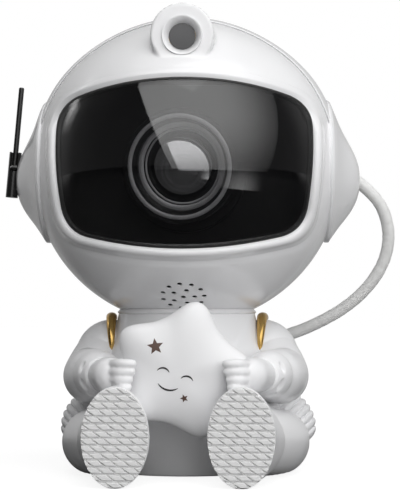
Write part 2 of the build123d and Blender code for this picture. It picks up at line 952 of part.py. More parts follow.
def lens_ring_outer():
    return ring_at(barrel_radius - barrel_wall + outer_ring_width, outer_ring_width, barrel_front_y)


def lens_ring_inner():
    return ring_at(inner_ring_radius, inner_ring_width, shelf_y - barrel_wall)


def front_lens():
    """Domed glass in the middle of the barrel."""
    seat = shelf_y - barrel_wall
    curve = (dome_radius ** 2 + dome_height ** 2) / (2 * dome_height)
    bend = math.asin(dome_radius / curve) / 2
    halfway = (curve * math.sin(bend), seat - dome_height + curve * (1 - math.cos(bend)))
    outline = [
        Line((0, shelf_y), (dome_radius, shelf_y)),
        Line((dome_radius, shelf_y), (dome_radius, seat)),
        ThreePointArc((dome_radius, seat), halfway, (0, seat - dome_height)),
        Line((0, seat - dome_height), (0, shelf_y)),
    ]
    return Pos(0, 0, lens_z) * revolve(make_face(outline), Axis.Y)


# Star ---------------------------------------------------------------

def star_face(inset):
    """Rounded star, made smaller by an inset."""
    step = 360 / star_points
    corners = []
    for i in range(star_points):
        for radius, shift in ((star_radius, 0), (star_inner_radius, step / 2)):
            turn = math.radians(star_lean + step * i + shift)
            corners.append((radius * math.cos(turn), radius * math.sin(turn)))
    face = make_face(Polyline(*corners, close=True))
    tips = face.vertices().sort_by_distance((0, 0, 0))[star_points:]
    face = fillet(tips, star_tip_fillet)
    notches = face.vertices().sort_by_distance((0, 0, 0))[:star_points]
    face = fillet(notches, star_notch_fillet)
    return offset(face, -inset) if inset else face


def star_slice(inset, y_rear, depth):
    """Star-shaped slab in front of a Y plane."""
    return Pos(0, y_rear, star_z) * (Plane.XZ * extrude(star_face(inset), depth))


def star_half_front():
    """Outer form of the front half, with a soft edge."""
    half = star_slice(0, star_seam_y, star_half_thickness)
    rim = half.faces().sort_by(Axis.Y)[0].edges()
    return fillet(rim, star_edge_fillet)


def star_half_back():
    """Outer form of the back half, with a soft edge."""
    half = star_slice(0, star_back_y, star_half_thickness)
    rim = half.faces().sort_by(Axis.Y)[-1].edges()
    return fillet(rim, star_edge_fillet)


def star_front():
    hollow = star_slice(star_wall, star_seam_y, star_half_thickness - star_wall)
    return star_half_front() - hollow


def star_back():
    """Back half with the stem that carries the star on the chest."""
    hollow = star_slice(star_wall, star_back_y - star_wall, star_half_thickness - star_wall)
    stem = rod_y(0, star_z, star_back_y - star_wall, 0, star_stem_radius) - torso(0)
    return star_half_back() - hollow + stem


# Arms and legs ------------------------------------------------------

def sleeve():
    """Bent sleeve from the shoulder to the wrist."""
    upper = knuckle(shoulder, shoulder_radius) + limb(shoulder, elbow, shoulder_radius, elbow_radius)
    lower = knuckle(elbow, elbow_radius) + limb(elbow, wrist, elbow_radius, wrist_radius)
    return (upper + lower) & slab_z(-reach, body_height) - torso(0)


def glove():
    """Hand with four fingers laid over the star."""
    along = (Vector(wrist) - Vector(elbow)).normalized()
    cuff_end = Vector(wrist) + along * cuff_length
    hand = limb(wrist, tuple(cuff_end), cuff_radius, cuff_radius)
    hand += limb(tuple(cuff_end), palm, palm_radius, palm_radius) + knuckle(tuple(cuff_end), palm_radius)
    hand += knuckle(palm, palm_radius)
    for i in range(finger_count):
        z = finger_low_z + i * finger_pitch
        root = (finger_root_x, finger_y, z)
        tip = (finger_tip_x, finger_y, z)
        hand += limb(root, tip, finger_radius, finger_radius) + knuckle(root, finger_radius)
        hand += knuckle(tip, finger_radius)
    return hand - sleeve() - boot_form()


def leg():
    """Thigh and shin, laid forward on the floor."""
    form = knuckle(hip, hip_radius) + limb(hip, ankle, hip_radius, ankle_radius)
    return (form & slab_z(pad_height, reach)) - torso(0)


def boot_form():
    """Boot from the flat ankle to the back of the sole."""
    sole_back = sole_front_y + sole_thickness
    ankle_y = ankle[1]
    heel = Pos(ankle[0], ankle_y, ankle[2]) * (Plane.XZ * Circle(ankle_radius))
    toe = Pos(sole_x, sole_back, sole_z) * (Plane.XZ * Ellipse(sole_width / 2, sole_height / 2))
    return loft([heel, toe])


def boot():
    """Boot, seated on the ankle end of the leg."""
    return boot_form() - limb(hip, ankle, hip_radius, ankle_radius)


def sole():
    """Oval sole with slanted tread blocks."""
    back = sole_front_y + sole_thickness
    form = Plane.XZ * extrude(Ellipse(sole_width / 2, sole_height / 2), sole_thickness)
    rows = int(sole_height / tread_pitch / 2) + 1
    cut_y = -sole_thickness
    for i in range(-rows, rows + 1):
        z = (i + 0.5) * tread_pitch
        low = (-sole_width, cut_y, z - tread_groove / 2)
        form -= block(low, (sole_width, cut_y + tread_depth, z + tread_groove / 2))
    lines = int(sole_height / tread_slant_pitch / 2) + 2
    for i in range(-lines, lines + 1):
        across = i * tread_slant_pitch
        low = (-sole_height, cut_y, across - tread_groove / 2)
        groove = block(low, (sole_height, cut_y + tread_depth, across + tread_groove / 2))
        form -= Rot(Y=tread_slant) * groove
    return Pos(sole_x, back, sole_z) * form


def shoulder_trim():
    """Gilt piping in the seam between sleeve and body."""
    ring_radius = math.sqrt(shoulder_radius ** 2 - (shoulder[0] - trim_x) ** 2)
    section = Pos(0, 0, ring_radius) * (Plane.XZ * Circle(trim_radius))
    arc = Rot(X=trim_start) * revolve(section, Axis.X, trim_sweep)
    return Pos(trim_x, shoulder[1], shoulder[2]) * arc - torso(0) - sleeve()


def hip_bellows():
    """Ribbed joint of the suit behind the thigh."""
    pitch = 2 * bellows_half_length / bellows_ribs
    outline = [(0, -bellows_half_length)]
    for i in range(bellows_ribs):
        start = -bellows_half_length + i * pitch
        middle = start + pitch / 2
        bulge = bellows_radius * math.sqrt(1 - (middle / (bellows_half_length + pitch)) ** 2)
        outline += [(bulge - bellows_groove, start), (bulge, start + pitch / 4)]
        outline += [(bulge, start + 3 * pitch / 4), (bulge - bellows_groove, start + pitch)]
    outline.append((0, bellows_half_length))
    form = Pos(*bellows_center) * Rot(Y=90 + bellows_slope) * turned_z(outline)
    return form - torso(0) - leg() - pack_form()


# Backpack -----------------------------------------------------------

def pack_form():
    """Outer form of the backpack."""
    low = (-pack_half_width, pack_front_y, pack_low_z)
    form = block(low, (pack_half_width, pack_rear_y, pack_high_z))
    rear = form.faces().sort_by(Axis.Y)[-1].edges()
    sides = form.edges().filter_by(Axis.Y)
    return fillet(rear + sides, pack_edge_fillet)


def button_places():
    return [button_low_z + i * button_pitch for i in range(button_count)]


def button_post_places():
    x = button_board_width / 2 - button_post_inset
    z = button_board_height / 2 - button_post_inset
    return [(sx * x, button_board_z + sz * z) for sx in (-1, 1) for sz in (-1, 1)]


def backpack_shell():
    """Hollow backpack with button holes, board posts and the hose socket."""
    low = (-pack_half_width + pack_wall, pack_front_y, pack_low_z + pack_wall)
    cavity = block(low, (pack_half_width - pack_wall, pack_inside_y, pack_high_z - pack_wall))
    shell = pack_form() - cavity
    for z in button_places():
        shell -= rod_y(0, z, pack_inside_y, pack_rear_y, button_radius + free_gap)
    for x, z in button_post_places():
        shell += rod_y(x, z, button_board_y, pack_inside_y, button_post_radius)
    shell += hose_socket(hose_points[-1], hose_points[-2]) - cavity
    return shell - torso(0)


def button_board():
    """Board with one switch behind each button."""
    half = button_board_width / 2
    tall = button_board_height / 2
    rear = button_board_y
    low = (-half, rear - board_thickness, button_board_z - tall)
    board = block(low, (half, rear, button_board_z + tall))
    reach_x = switch_size / 2
    for z in button_places():
        board += block((-reach_x, rear, z - reach_x), (reach_x, rear + switch_height, z + reach_x))
    return board


def button(z):
    """Push button with a flange inside the wall and a stem to its switch."""
    head = rod_y(0, z, flange_rear_y, pack_rear_y + button_proud, button_radius)
    flange_front = flange_rear_y - button_flange_height
    flange = rod_y(0, z, flange_front, flange_rear_y, button_radius + button_flange)
    return head + flange + rod_y(0, z, stem_end_y, flange_front, button_stem_radius)


# Hose ---------------------------------------------------------------

def hose_socket(end, toward):
    """Short sleeve that ends at the hose's end and looks along its first run."""
    plane = Plane(origin=end, z_dir=Vector(toward) - Vector(end))
    tube = Cylinder(hose_socket_radius, hose_socket_length, align=(Align.CENTER, Align.CENTER, Align.MAX))
    return plane * tube


def hose_corner_radii():
    """The largest tangent arc that fits each corner of the hose."""
    points = [Vector(*p) for p in hose_points]
    radii = []
    for before, corner, after in zip(points, points[1:], points[2:]):
        first = corner - before
        second = after - corner
        half_turn = math.radians(first.get_angle(second)) / 2
        radii.append(hose_arc_share * min(first.length, second.length) / math.tan(half_turn))
    return radii


def air_hose():
    path = FilletPolyline(*hose_points, radius=hose_corner_radii())
    section = Plane(origin=hose_points[0], z_dir=path % 0) * Circle(hose_radius)
    tube = sweep(section, path=path)
    print("hose length", round(path.length, 2), "radii", [round(r, 1) for r in hose_corner_radii()])
    print("hose volume", round(tube.volume, 1), "expected", round(math.pi * hose_radius ** 2 * path.length, 1))
    return tube


# All pieces ---------------------------------------------------------

pieces = {
    "helmet_front_shell": helmet_front_shell(),
    "helmet_rear_shell": helmet_rear_shell(),
    "helmet_screws": helmet_screws(),
    "visor": visor(),
    "visor_gasket": visor_gasket(),
    "visor_bezel": visor_bezel(),
    "ear_cap_left": ear_cap_left(),
    "ear_cap_right": ear_cap_right(),
    "crown_window": crown_window(),
    "laser_module": laser_module(),
    "head_plate": head_plate(),
    "speaker": speaker(),
    "antenna_base": antenna_base(),
    "antenna_pin": antenna_pin(),
    "antenna_rod": antenna_rod(),
    "optics_chassis": optics_chassis(),
    "led_board": led_board(),
    "heat_sink": heat_sink(),
    "main_board": main_board(),
    "lens_barrel": lens_barrel(),
    "lens_ring_outer": lens_ring_outer(),
    "lens_ring_inner": lens_ring_inner(),
    "front_lens": front_lens(),
    "wheel_axle": wheel_axle(),
    "wheel_gear": wheel_gear(),
    "nebula_disc": nebula_disc(),
    "wheel_motor": wheel_motor(),
    "motor_pinion": motor_pinion(),
    "neck_ring": neck_ring(),
    "neck_clip": neck_clip(),
    "neck_magnet": neck_magnet(),
    "neck_socket": neck_socket(),
    "body_front_shell": body_front_shell(),
    "body_rear_shell": body_rear_shell(),
    "base_plate": base_plate(),
    "base_pad": base_pad(),
    "base_screws": base_screws(),
    "power_inlet": power_inlet(),
    "star_front": star_front(),
    "star_back": star_back(),
    "backpack_shell": backpack_shell(),
    "button_board": button_board(),
    "air_hose": air_hose(),
}
pieces.update(both_sides("sleeve", sleeve()))
star_form = star_half_front() + star_half_back()
pieces.update(both_sides("glove", glove(), star_form))
pieces.update(both_sides("leg", leg(), star_form))
pieces.update(both_sides("boot", boot(), star_form))
pieces.update(both_sides("sole", sole()))
pieces.update(both_sides("shoulder_trim", shoulder_trim()))
pieces.update(both_sides("hip_bellows", hip_bellows()))
for number, height in enumerate(button_places(), 1):
    pieces["button_" + str(number)] = button(height)

os.makedirs("parts", exist_ok=True)
for name, shape in pieces.items():
    export_step(shape, "parts/" + name + ".step")
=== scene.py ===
import json
from math import acos, asin, atan2, cos, hypot, pi, radians, sin, sqrt, tan

import bmesh
import bpy
import numpy as np
from mathutils import Matrix, Vector


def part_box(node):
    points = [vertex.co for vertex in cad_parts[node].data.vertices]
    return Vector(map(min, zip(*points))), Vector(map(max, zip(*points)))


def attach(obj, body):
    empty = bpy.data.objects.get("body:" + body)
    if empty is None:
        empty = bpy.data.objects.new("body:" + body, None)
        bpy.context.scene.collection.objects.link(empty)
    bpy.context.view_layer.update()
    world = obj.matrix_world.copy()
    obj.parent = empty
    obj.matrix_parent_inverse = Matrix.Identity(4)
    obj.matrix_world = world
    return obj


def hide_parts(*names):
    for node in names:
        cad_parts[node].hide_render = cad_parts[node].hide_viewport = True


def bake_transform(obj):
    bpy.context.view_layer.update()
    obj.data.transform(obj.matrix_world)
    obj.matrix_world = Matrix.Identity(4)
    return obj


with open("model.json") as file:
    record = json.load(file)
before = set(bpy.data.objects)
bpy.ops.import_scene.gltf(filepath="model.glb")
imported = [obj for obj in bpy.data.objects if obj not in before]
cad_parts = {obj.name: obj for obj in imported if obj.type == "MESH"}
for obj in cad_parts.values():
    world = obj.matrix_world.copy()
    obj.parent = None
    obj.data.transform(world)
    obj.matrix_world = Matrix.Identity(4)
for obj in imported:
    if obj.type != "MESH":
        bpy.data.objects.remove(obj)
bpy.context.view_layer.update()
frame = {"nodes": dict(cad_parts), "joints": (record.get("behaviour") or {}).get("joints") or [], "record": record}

mm = 0.001   # pieces are modelled in millimetres and scaled to metres when they are finished
scene = bpy.context.scene
jointPlaces = {j["name"]: Vector(j["pos_m"]) / mm for j in frame["joints"] if j.get("pos_m")}
headCentre = jointPlaces["head_tilt"]
bodyTop = jointPlaces["head_swivel"].z


def boxOf(node):
    low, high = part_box(node)
    return low / mm, high / mm


cameraLook = {
    "distance": 650.0,      # from the axis that the head turns about
    "azimuth": 2.4,         # degrees to the right of straight ahead
    "height": 60.4,
    "focal": 1668.0,        # in pixels of the 400 by 493 frame
    "frame": (400, 493),
    "axisPixel": 187.0,     # column that the head axis falls on
    "horizonPixel": 313.0,  # row that the horizon falls on
}


def makeCamera():
    look = cameraLook
    turn = radians(look["azimuth"])
    place = Vector((sin(turn) * look["distance"], -cos(turn) * look["distance"], look["height"]))
    forward = Vector((-sin(turn), cos(turn), 0))
    right = forward.cross(Vector((0, 0, 1)))
    width, height = look["frame"]
    aimRight = (width / 2 - look["axisPixel"]) / look["focal"]
    aimUp = (look["horizonPixel"] - height / 2) / look["focal"]
    aim = forward + right * aimRight + Vector((0, 0, 1)) * aimUp
    data = bpy.data.cameras.new("camera")
    data.sensor_width = 36.0
    data.lens = look["focal"] / height * data.sensor_width
    data.clip_start = 0.05
    data.clip_end = 20
    camera = bpy.data.objects.new("camera", data)
    camera.location = place * mm
    camera.rotation_euler = aim.to_track_quat("-Z", "Y").to_euler()
    scene.collection.objects.link(camera)
    scene.camera = camera


makeCamera()


studio = {
    "front": 0.05,         # brightness of the room before the object
    "behind": 0.20,        # and of the wall behind it
    "floor": 0.25,         # grey of the floor under the lamps
    "floorMirrored": 0.03, # and the same floor in a mirror
    "wallMirrored": 0.35,  # share of the white wall behind that a mirror shows
    "floorGlow": (0.88, 1.0),     # brightness of the floor that is seen, near and far behind
    "floorHalf": 6000,
    # name: azimuth from the front to the right, elevation, distance, width, height, power, roll,
    # and how much of the panel's own light is left at its left, right, low and top edge
    "lamps": {
        "key": (27, 39.5, 1.0, 1.95, 1.9, 22.5, 0, (0.95, 0.20, 0.42, 0.95)),
        "fill": (50, 6, 1.0, 1.8, 0.26, 3.4, 0, (1.0, 1.0, 1.0, 1.0)),
        "top": (-30, 84, 1.0, 0.9, 0.9, 1.2, 0, (1.0, 1.0, 1.0, 1.0)),
        "streak": (-107, 31, 0.9, 0.16, 0.50, 0.9, 12, (0.0, 0.0, 0.0, 0.2)),
        "glow": (40, -16, 0.42, 0.26, 0.26, 0.26, 0, (0.0, 0.0, 0.0, 0.0)),
    },
    "unmirrored": ("fill",),            # lamps that no mirror shows
    "mirrored": ("streak", "glow"),     # and lamps that light nothing but mirrors
}


def addNode(tree, kind, links=(), values=(), **settings):
    # links and values are pairs of an input and what it gets
    node = tree.nodes.new("ShaderNode" + kind)
    for name, value in settings.items():
        setattr(node, name, value)
    for slot, value in values:
        node.inputs[slot].default_value = value
    for slot, source in links:
        tree.links.new(source, node.inputs[slot])
    return node


def edgeShare(tree, place, left, right):
    # 1 in the middle of 0 to 1, falling to the given shares at both ends
    share = addNode(tree, "ValToRGB", [("Fac", place)])
    share.color_ramp.interpolation = "EASE"
    stops = share.color_ramp.elements
    stops[0].color = (left, left, left, 1)
    stops[1].color = (right, right, right, 1)
    stops.new(0.5).color = (1, 1, 1, 1)
    return share.outputs["Color"]


def worked(tree, operation, first, second):
    node = addNode(tree, "Math", [(0, first)], operation=operation)
    if isinstance(second, float):
        node.inputs[1].default_value = second
    else:
        tree.links.new(second, node.inputs[1])
    return node.outputs[0]


def pointLamp(name, azimuth, elevation, distance, width, height, power, roll, edges):
    a, e = radians(azimuth), radians(elevation)
    toward = Vector((sin(a) * cos(e), -cos(a) * cos(e), sin(e)))
    data = bpy.data.lights.new(name, "AREA")
    data.shape = "RECTANGLE"
    data.size = width
    data.size_y = height
    data.energy = power
    data.use_nodes = True
    tree = data.node_tree
    place = addNode(tree, "NewGeometry").outputs["Parametric"]
    split = addNode(tree, "SeparateXYZ", [(0, place)])
    across = edgeShare(tree, split.outputs["X"], edges[0], edges[1])
    up = edgeShare(tree, split.outputs["Y"], edges[2], edges[3])
    tree.links.new(worked(tree, "MULTIPLY", across, up), tree.nodes["Emission"].inputs["Strength"])
    lamp = bpy.data.objects.new(name, data)
    lamp.location = headCentre * mm + toward * distance
    turn = (-toward).to_track_quat("-Z", "Y").to_matrix() @ Matrix.Rotation(radians(roll), 3, "Z")
    lamp.rotation_euler = turn.to_euler()
    lamp.visible_glossy = name not in studio["unmirrored"]
    lamp.visible_diffuse = name not in studio["mirrored"]
    scene.collection.objects.link(lamp)


def ramped(tree, value, source, target, interpolation="SMOOTHSTEP"):
    ends = [("From Min", source[0]), ("From Max", source[1]), ("To Min", target[0]), ("To Max", target[1])]
    node = addNode(tree, "MapRange", [("Value", value)], ends, interpolation_type=interpolation)
    return node.outputs["Result"]


def depthOf(tree, output):
    # how far behind the object a place lies
    where = addNode(tree, "TexCoord").outputs[output]
    return addNode(tree, "SeparateXYZ", [(0, where)]).outputs["Y"]


def seenShare(tree, behind):
    # 1 for camera rays, and for mirror and glass rays as far as they meet what lies behind the object
    path = addNode(tree, "LightPath").outputs
    bent = worked(tree, "MAXIMUM", path["Is Glossy Ray"], path["Is Transmission Ray"])
    share = worked(tree, "MULTIPLY", worked(tree, "MULTIPLY", bent, behind), studio["wallMirrored"])
    return worked(tree, "MAXIMUM", path["Is Camera Ray"], share)


def makeWorld():
    world = bpy.data.worlds.new("world")
    scene.world = world
    world.use_nodes = True
    tree = world.node_tree
    back = tree.nodes["Background"]
    back.inputs["Color"].default_value = (1, 1, 1, 1)
    depth = depthOf(tree, "Generated")
    room = ramped(tree, depth, (-0.5, 0.8), (studio["front"], studio["behind"]))
    seen = seenShare(tree, ramped(tree, depth, (0.0, 0.5), (0.0, 1.0)))
    strength = addNode(tree, "Mix", [("A", room), ("Factor", seen)], [("B", 1.0)])
    tree.links.new(strength.outputs["Result"], back.inputs["Strength"])


def objectFrom(name, bm):
    # puts a mesh in millimetres into the scene
    bmesh.ops.scale(bm, vec=(mm, mm, mm), verts=bm.verts)
    mesh = bpy.data.meshes.new(name)
    bm.to_mesh(mesh)
    bm.free()
    made = bpy.data.objects.new(name, mesh)
    scene.collection.objects.link(made)
    return made


def makeFloor():
    bm = bmesh.new()
    bmesh.ops.create_grid(bm, x_segments=2, y_segments=2, size=studio["floorHalf"])
    floor = objectFrom("floor", bm)
    mat = bpy.data.materials.new("floorPaint")
    mat.use_nodes = True
    tree = mat.node_tree
    tree.nodes.clear()
    mirror = addNode(tree, "LightPath").outputs["Is Glossy Ray"]
    grey = ramped(tree, mirror, (0.0, 1.0), (studio["floor"], studio["floorMirrored"]), "LINEAR")
    paint = addNode(tree, "BsdfDiffuse", [("Color", grey)])
    depth = depthOf(tree, "Object")
    behind = ramped(tree, depth, (0.0, 0.4), (0.0, 1.0))
    bright = ramped(tree, depth, (0.05, 0.5), studio["floorGlow"])
    seen = worked(tree, "MULTIPLY", seenShare(tree, behind), bright)
    glow = addNode(tree, "Emission", [("Strength", seen)])
    both = addNode(tree, "AddShader", [(0, paint.outputs[0]), (1, glow.outputs[0])])
    addNode(tree, "OutputMaterial", [("Surface", both.outputs[0])])
    floor.data.materials.append(mat)


def makeStudio():
    for name, values in studio["lamps"].items():
        pointLamp(name, *values)
    makeWorld()
    makeFloor()


makeStudio()
scene.view_settings.view_transform = "Standard"
print("stage: camera, lamps and floor")


def finish(name, color, roughness, spread=0.05, grain=0.02, grainSize=0.35, tint=0.02, tintSize=12, **fixed):
    # uneven roughness, slow colour drift and a fine grain, all on object coordinates
    mat = bpy.data.materials.new(name)
    mat.use_nodes = True
    tree = mat.node_tree
    shader = tree.nodes["Principled BSDF"].inputs
    for key, value in fixed.items():
        shader[key.replace("_", " ")].default_value = value
    where = addNode(tree, "TexCoord").outputs["Object"]

    def cloud(size, detail):
        values = [("Scale", 1 / (size * mm)), ("Detail", detail)]
        return addNode(tree, "TexNoise", [("Vector", where)], values).outputs["Fac"]

    def tinted(drift):
        return (*[min(1, c * (1 + drift)) for c in color], 1)

    shade = addNode(tree, "Mix", [("Factor", cloud(tintSize, 3))],
                    [("A", tinted(-tint)), ("B", tinted(tint))], data_type="RGBA")
    ends = (max(0, roughness - spread), roughness + spread)
    rough = ramped(tree, cloud(tintSize / 3, 4), (0.0, 1.0), ends, "LINEAR")
    bump = addNode(tree, "Bump", [("Height", cloud(grainSize, 2))],
                   [("Strength", 1.0), ("Distance", grain * mm)])
    tree.links.new(shade.outputs["Result"], shader["Base Color"])
    tree.links.new(rough, shader["Roughness"])
    tree.links.new(bump.outputs["Normal"], shader["Normal"])
    return mat


finishes = {
    "white_shell": finish("glossWhite", (0.85, 0.85, 0.86), 0.20, 0.03, 0.004, 0.9, 0.01, 25,
                          Coat_Weight=0.35, Coat_Roughness=0.06),
    "white_suit": finish("satinWhite", (0.84, 0.84, 0.85), 0.30, 0.04, 0.006, 0.6, 0.012, 18,
                         Coat_Weight=0.15, Coat_Roughness=0.15),
    "white_sole": finish("mattWhite", (0.82, 0.82, 0.82), 0.50, 0.06, 0.015, 0.35, 0.015, 8),
    "smoked_visor": finish("smokedVisor", (0.003, 0.003, 0.004), 0.035, 0.01, 0.00005, 8.0, 0.02, 30,
                           Alpha=0.31, Specular_IOR_Level=1.0, IOR=1.9),
    "gasket": finish("gasketRubber", (0.02, 0.02, 0.02), 0.55, 0.08, 0.02, 0.2),
    "gilt": finish("giltTrim", (0.62, 0.40, 0.13), 0.24, 0.05, 0.004, 0.5, 0.10, 4, Metallic=1.0),
    "black_gloss": finish("blackGloss", (0.012, 0.012, 0.012), 0.22, 0.06, 0.004, 0.4, 0.1, 6,
                          Coat_Weight=0.4, Coat_Roughness=0.08),
    "black_matte": finish("blackMatte", (0.007, 0.007, 0.007), 0.60, 0.08, 0.01, 0.25, 0.1, 6,
                          Specular_IOR_Level=0.25),
    "dark_window": finish("windowGrey", (0.055, 0.055, 0.058), 0.25, 0.03, 0.002, 1.0, 0.03, 5,
                          Coat_Weight=0.3, Coat_Roughness=0.05),
    "clear_glass": finish("lensGlass", (0.88, 0.88, 0.90), 0.06, 0.02, 0.00005, 4.0, 0.02, 8,
                          Metallic=0.9, Coat_Weight=1.0, Coat_Roughness=0.02),
    "pattern_glass": finish("nebulaGlass", (0.25, 0.30, 0.50), 0.12, 0.04, 0.15, 1.8, 0.5, 6, Alpha=0.8),
    "bright_ring": finish("brightRing", (0.62, 0.62, 0.64), 0.38, 0.05, 0.003, 0.4, 0.03, 5, Metallic=0.35),
    "steel": finish("bareSteel", (0.55, 0.55, 0.56), 0.32, 0.08, 0.006, 0.3, 0.05, 4, Metallic=1.0),
    "brass_body": finish("turnedBrass", (0.72, 0.52, 0.24), 0.28, 0.06, 0.006, 0.3, 0.06, 4, Metallic=1.0),
    "aluminium_fins": finish("rawAluminium", (0.72, 0.73, 0.75), 0.36, 0.07, 0.006, 0.3, 0.04, 4,
                             Metallic=1.0),
    "nylon": finish("naturalNylon", (0.80, 0.78, 0.70), 0.42, 0.06, 0.008, 0.4, 0.03, 6),
    "circuit": finish("circuitGreen", (0.03, 0.20, 0.08), 0.38, 0.08, 0.03, 0.6, 0.25, 2.5),
    "rubber_pad": finish("padRubber", (0.045, 0.045, 0.045), 0.75, 0.08, 0.05, 0.5, 0.15, 5),
    "button_grey": finish("buttonGrey", (0.46, 0.47, 0.49), 0.38, 0.05, 0.008, 0.4, 0.03, 3),
    "hose": finish("hoseVinyl", (0.80, 0.80, 0.79), 0.45, 0.08, 0.10, 0.7, 0.05, 2.2),
}
printInk = finish("brownInk", (0.10, 0.055, 0.04), 0.45, 0.05, 0.002, 0.3, 0.1, 2)
darkInk = finish("darkInk", (0.012, 0.010, 0.010), 0.45, 0.05, 0.002, 0.3, 0.1, 2)

slotOfNode = {s["node"]: s["material_slot"] for s in frame["record"]["subparts"]}
for nodeName, node in frame["nodes"].items():
    node.data.materials.clear()
    node.data.materials.append(finishes[slotOfNode[nodeName]])
print("stage: finishes")


def newPiece(name, bm, body, slot, replaces=(), sharp=35, material=None):
    # smooth up to the sharp angle, and on its body
    piece = objectFrom(name, bm)
    piece.data.shade_smooth()
    piece.data.set_sharp_from_angle(angle=radians(sharp))
    piece.data.materials.append(material or finishes[slot])
    if body:
        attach(piece, body)
    if replaces:
        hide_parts(*replaces)
    return piece


def bakeModifiers(piece):
    graph = bpy.context.evaluated_depsgraph_get()
    mesh = bpy.data.meshes.new_from_object(piece.evaluated_get(graph), depsgraph=graph)
    piece.modifiers.clear()
    old = piece.data
    piece.data = mesh
    mesh.name = old.name
    bpy.data.meshes.remove(old)


def modify(piece, kind, **settings):
    mod = piece.modifiers.new(kind.lower(), kind)
    for name, value in settings.items():
        setattr(mod, name, value)


def giveWall(piece, thickness):
    modify(piece, "SOLIDIFY", thickness=thickness * mm, offset=-1, use_even_offset=False)


def ringLoft(rings, bm=None, closed=True, capStart=True, capEnd=True):
    # lays a first loop of vertices and extrudes it from ring to ring
    if bm is None:
        bm = bmesh.new()
    loop = [bm.verts.new(p) for p in rings[0]]
    count = len(loop)
    pairs = range(count) if closed else range(count - 1)
    edges = [bm.edges.new((loop[i], loop[(i + 1) % count])) for i in pairs]
    if capStart and closed:
        bm.faces.new(loop)
    for ring in rings[1:]:
        made = bmesh.ops.extrude_edge_only(bm, edges=edges)
        fresh = [g for g in made["geom"] if isinstance(g, bmesh.types.BMVert)]
        newEdges = [g for g in made["geom"] if isinstance(g, bmesh.types.BMEdge)]
        partner = {}
        for vert in fresh:
            for edge in vert.link_edges:
                other = edge.other_vert(vert)
                if other not in fresh:
                    partner[other] = vert
        loop = [partner[v] for v in loop]
        for vert, point in zip(loop, ring):
            vert.co = point
        wanted = {frozenset((loop[i], loop[(i + 1) % count])) for i in pairs}
        edges = [e for e in newEdges if frozenset(e.verts) in wanted]
    if capEnd and closed:
        bm.faces.new(loop)
    faceOut(bm)
    return bm


def spunPiece(profile, along=(0, 0, 1), centre=(0, 0, 0), steps=96, turn=360, start=0):
    # turned mesh from (radius, height) points, closed by points on the axis
    bm = bmesh.new()
    along = Vector(along)
    out = Matrix.Rotation(radians(start), 3, along) @ Vector((1, 0, 0))
    verts = [bm.verts.new(out * r + along * h) for r, h in profile]
    edges = [bm.edges.new(pair) for pair in zip(verts, verts[1:])]
    full = abs(turn - 360) < 0.01
    bmesh.ops.spin(bm, geom=verts + edges, cent=(0, 0, 0), axis=along, angle=radians(turn),
                   steps=steps, use_merge=full)
    bmesh.ops.remove_doubles(bm, verts=bm.verts, dist=0.0005)
    if full:
        faceOut(bm)
    bmesh.ops.translate(bm, verts=bm.verts, vec=centre)
    return bm


def roundCorner(before, corner, after, radius, segments=4):
    # points of a small round between two straight runs of a profile
    a, b, c = Vector(before), Vector(corner), Vector(after)
    first, second = (a - b).normalized(), (c - b).normalized()
    half = first.angle(second) / 2
    reach = radius / tan(half)
    centre = b + (first + second).normalized() * radius / sin(half)
    start, end = b + first * reach - centre, b + second * reach - centre
    return [tuple(centre + start.slerp(end, i / segments)) for i in range(segments + 1)]


def smoothPath(stations, steps):
    # catmull-Rom stations, each a tuple of numbers, at even steps between each two
    pts = np.array([stations[0]] + list(stations) + [stations[-1]], float)
    out = []
    for i in range(1, len(pts) - 2):
        p0, p1, p2, p3 = pts[i - 1:i + 3]
        for k in range(steps):
            t = k / steps
            out.append(0.5 * (2 * p1 + (p2 - p0) * t + (2 * p0 - 5 * p1 + 4 * p2 - p3) * t ** 2
                              + (3 * p1 - p0 - 3 * p2 + p3) * t ** 3))
    out.append(pts[-2])
    return np.array(out)


def tubeRings(stations, steps, around, upHint=(0, 0, 1)):
    # rings round a smooth path of (x, y, z, radius) stations, with each ring's frame
    path = smoothPath(stations, steps)
    centres = path[:, :3]
    tangents = np.gradient(centres, axis=0)
    tangents /= np.linalg.norm(tangents, axis=1)[:, None]
    side = np.cross(tangents[0], upHint)
    rings = []
    for centre, tangent, radius in zip(centres, tangents, path[:, 3]):
        side = side - tangent * (side @ tangent)
        side /= np.linalg.norm(side)
        up = np.cross(side, tangent)
        turns = fullTurn(around)
        rings.append(centre + radius * (np.cos(turns)[:, None] * side + np.sin(turns)[:, None] * up))
    return np.array(rings)


def softUnion(piece, voxel, smoothing):
    # melts the overlapping forms of a piece into one skin
    modify(piece, "REMESH", mode="VOXEL", voxel_size=voxel * mm)
    modify(piece, "SMOOTH", factor=0.5, iterations=smoothing)
    bakeModifiers(piece)
    piece.data.shade_smooth()


def smoothMax(values, blend):
    out = values[0]
    for value in values[1:]:
        h = np.maximum(blend - np.abs(out - value), 0) / blend
        out = np.maximum(out, value) + h * h * blend / 4
    return out


def smoothMin(a, b, blend):
    return -smoothMax([-a, -b], blend)


def eased(share):
    return share * share * (3 - 2 * share)


def faceOut(bm):
    bmesh.ops.recalc_face_normals(bm, faces=bm.faces)


def fullTurn(count):
    return np.linspace(0, 2 * pi, count, endpoint=False)


def moved(bm, matrix, verts=None):
    bmesh.ops.transform(bm, matrix=matrix, verts=verts or bm.verts)
    return bm


def addRod(bm, radius, length, segments, place, along="Z"):
    # a round rod about its middle, along Z or Y
    made = bmesh.ops.create_cone(bm, cap_ends=True, segments=segments, radius1=radius, radius2=radius,
                                 depth=length)
    turn = Matrix.Rotation(pi / 2 if along == "Y" else 0, 4, "X")
    return moved(bm, Matrix.Translation(place) @ turn, made["verts"])


def flipToLeft(bm):
    bmesh.ops.scale(bm, vec=(-1, 1, 1), verts=bm.verts)
    bmesh.ops.reverse_faces(bm, faces=bm.faces)


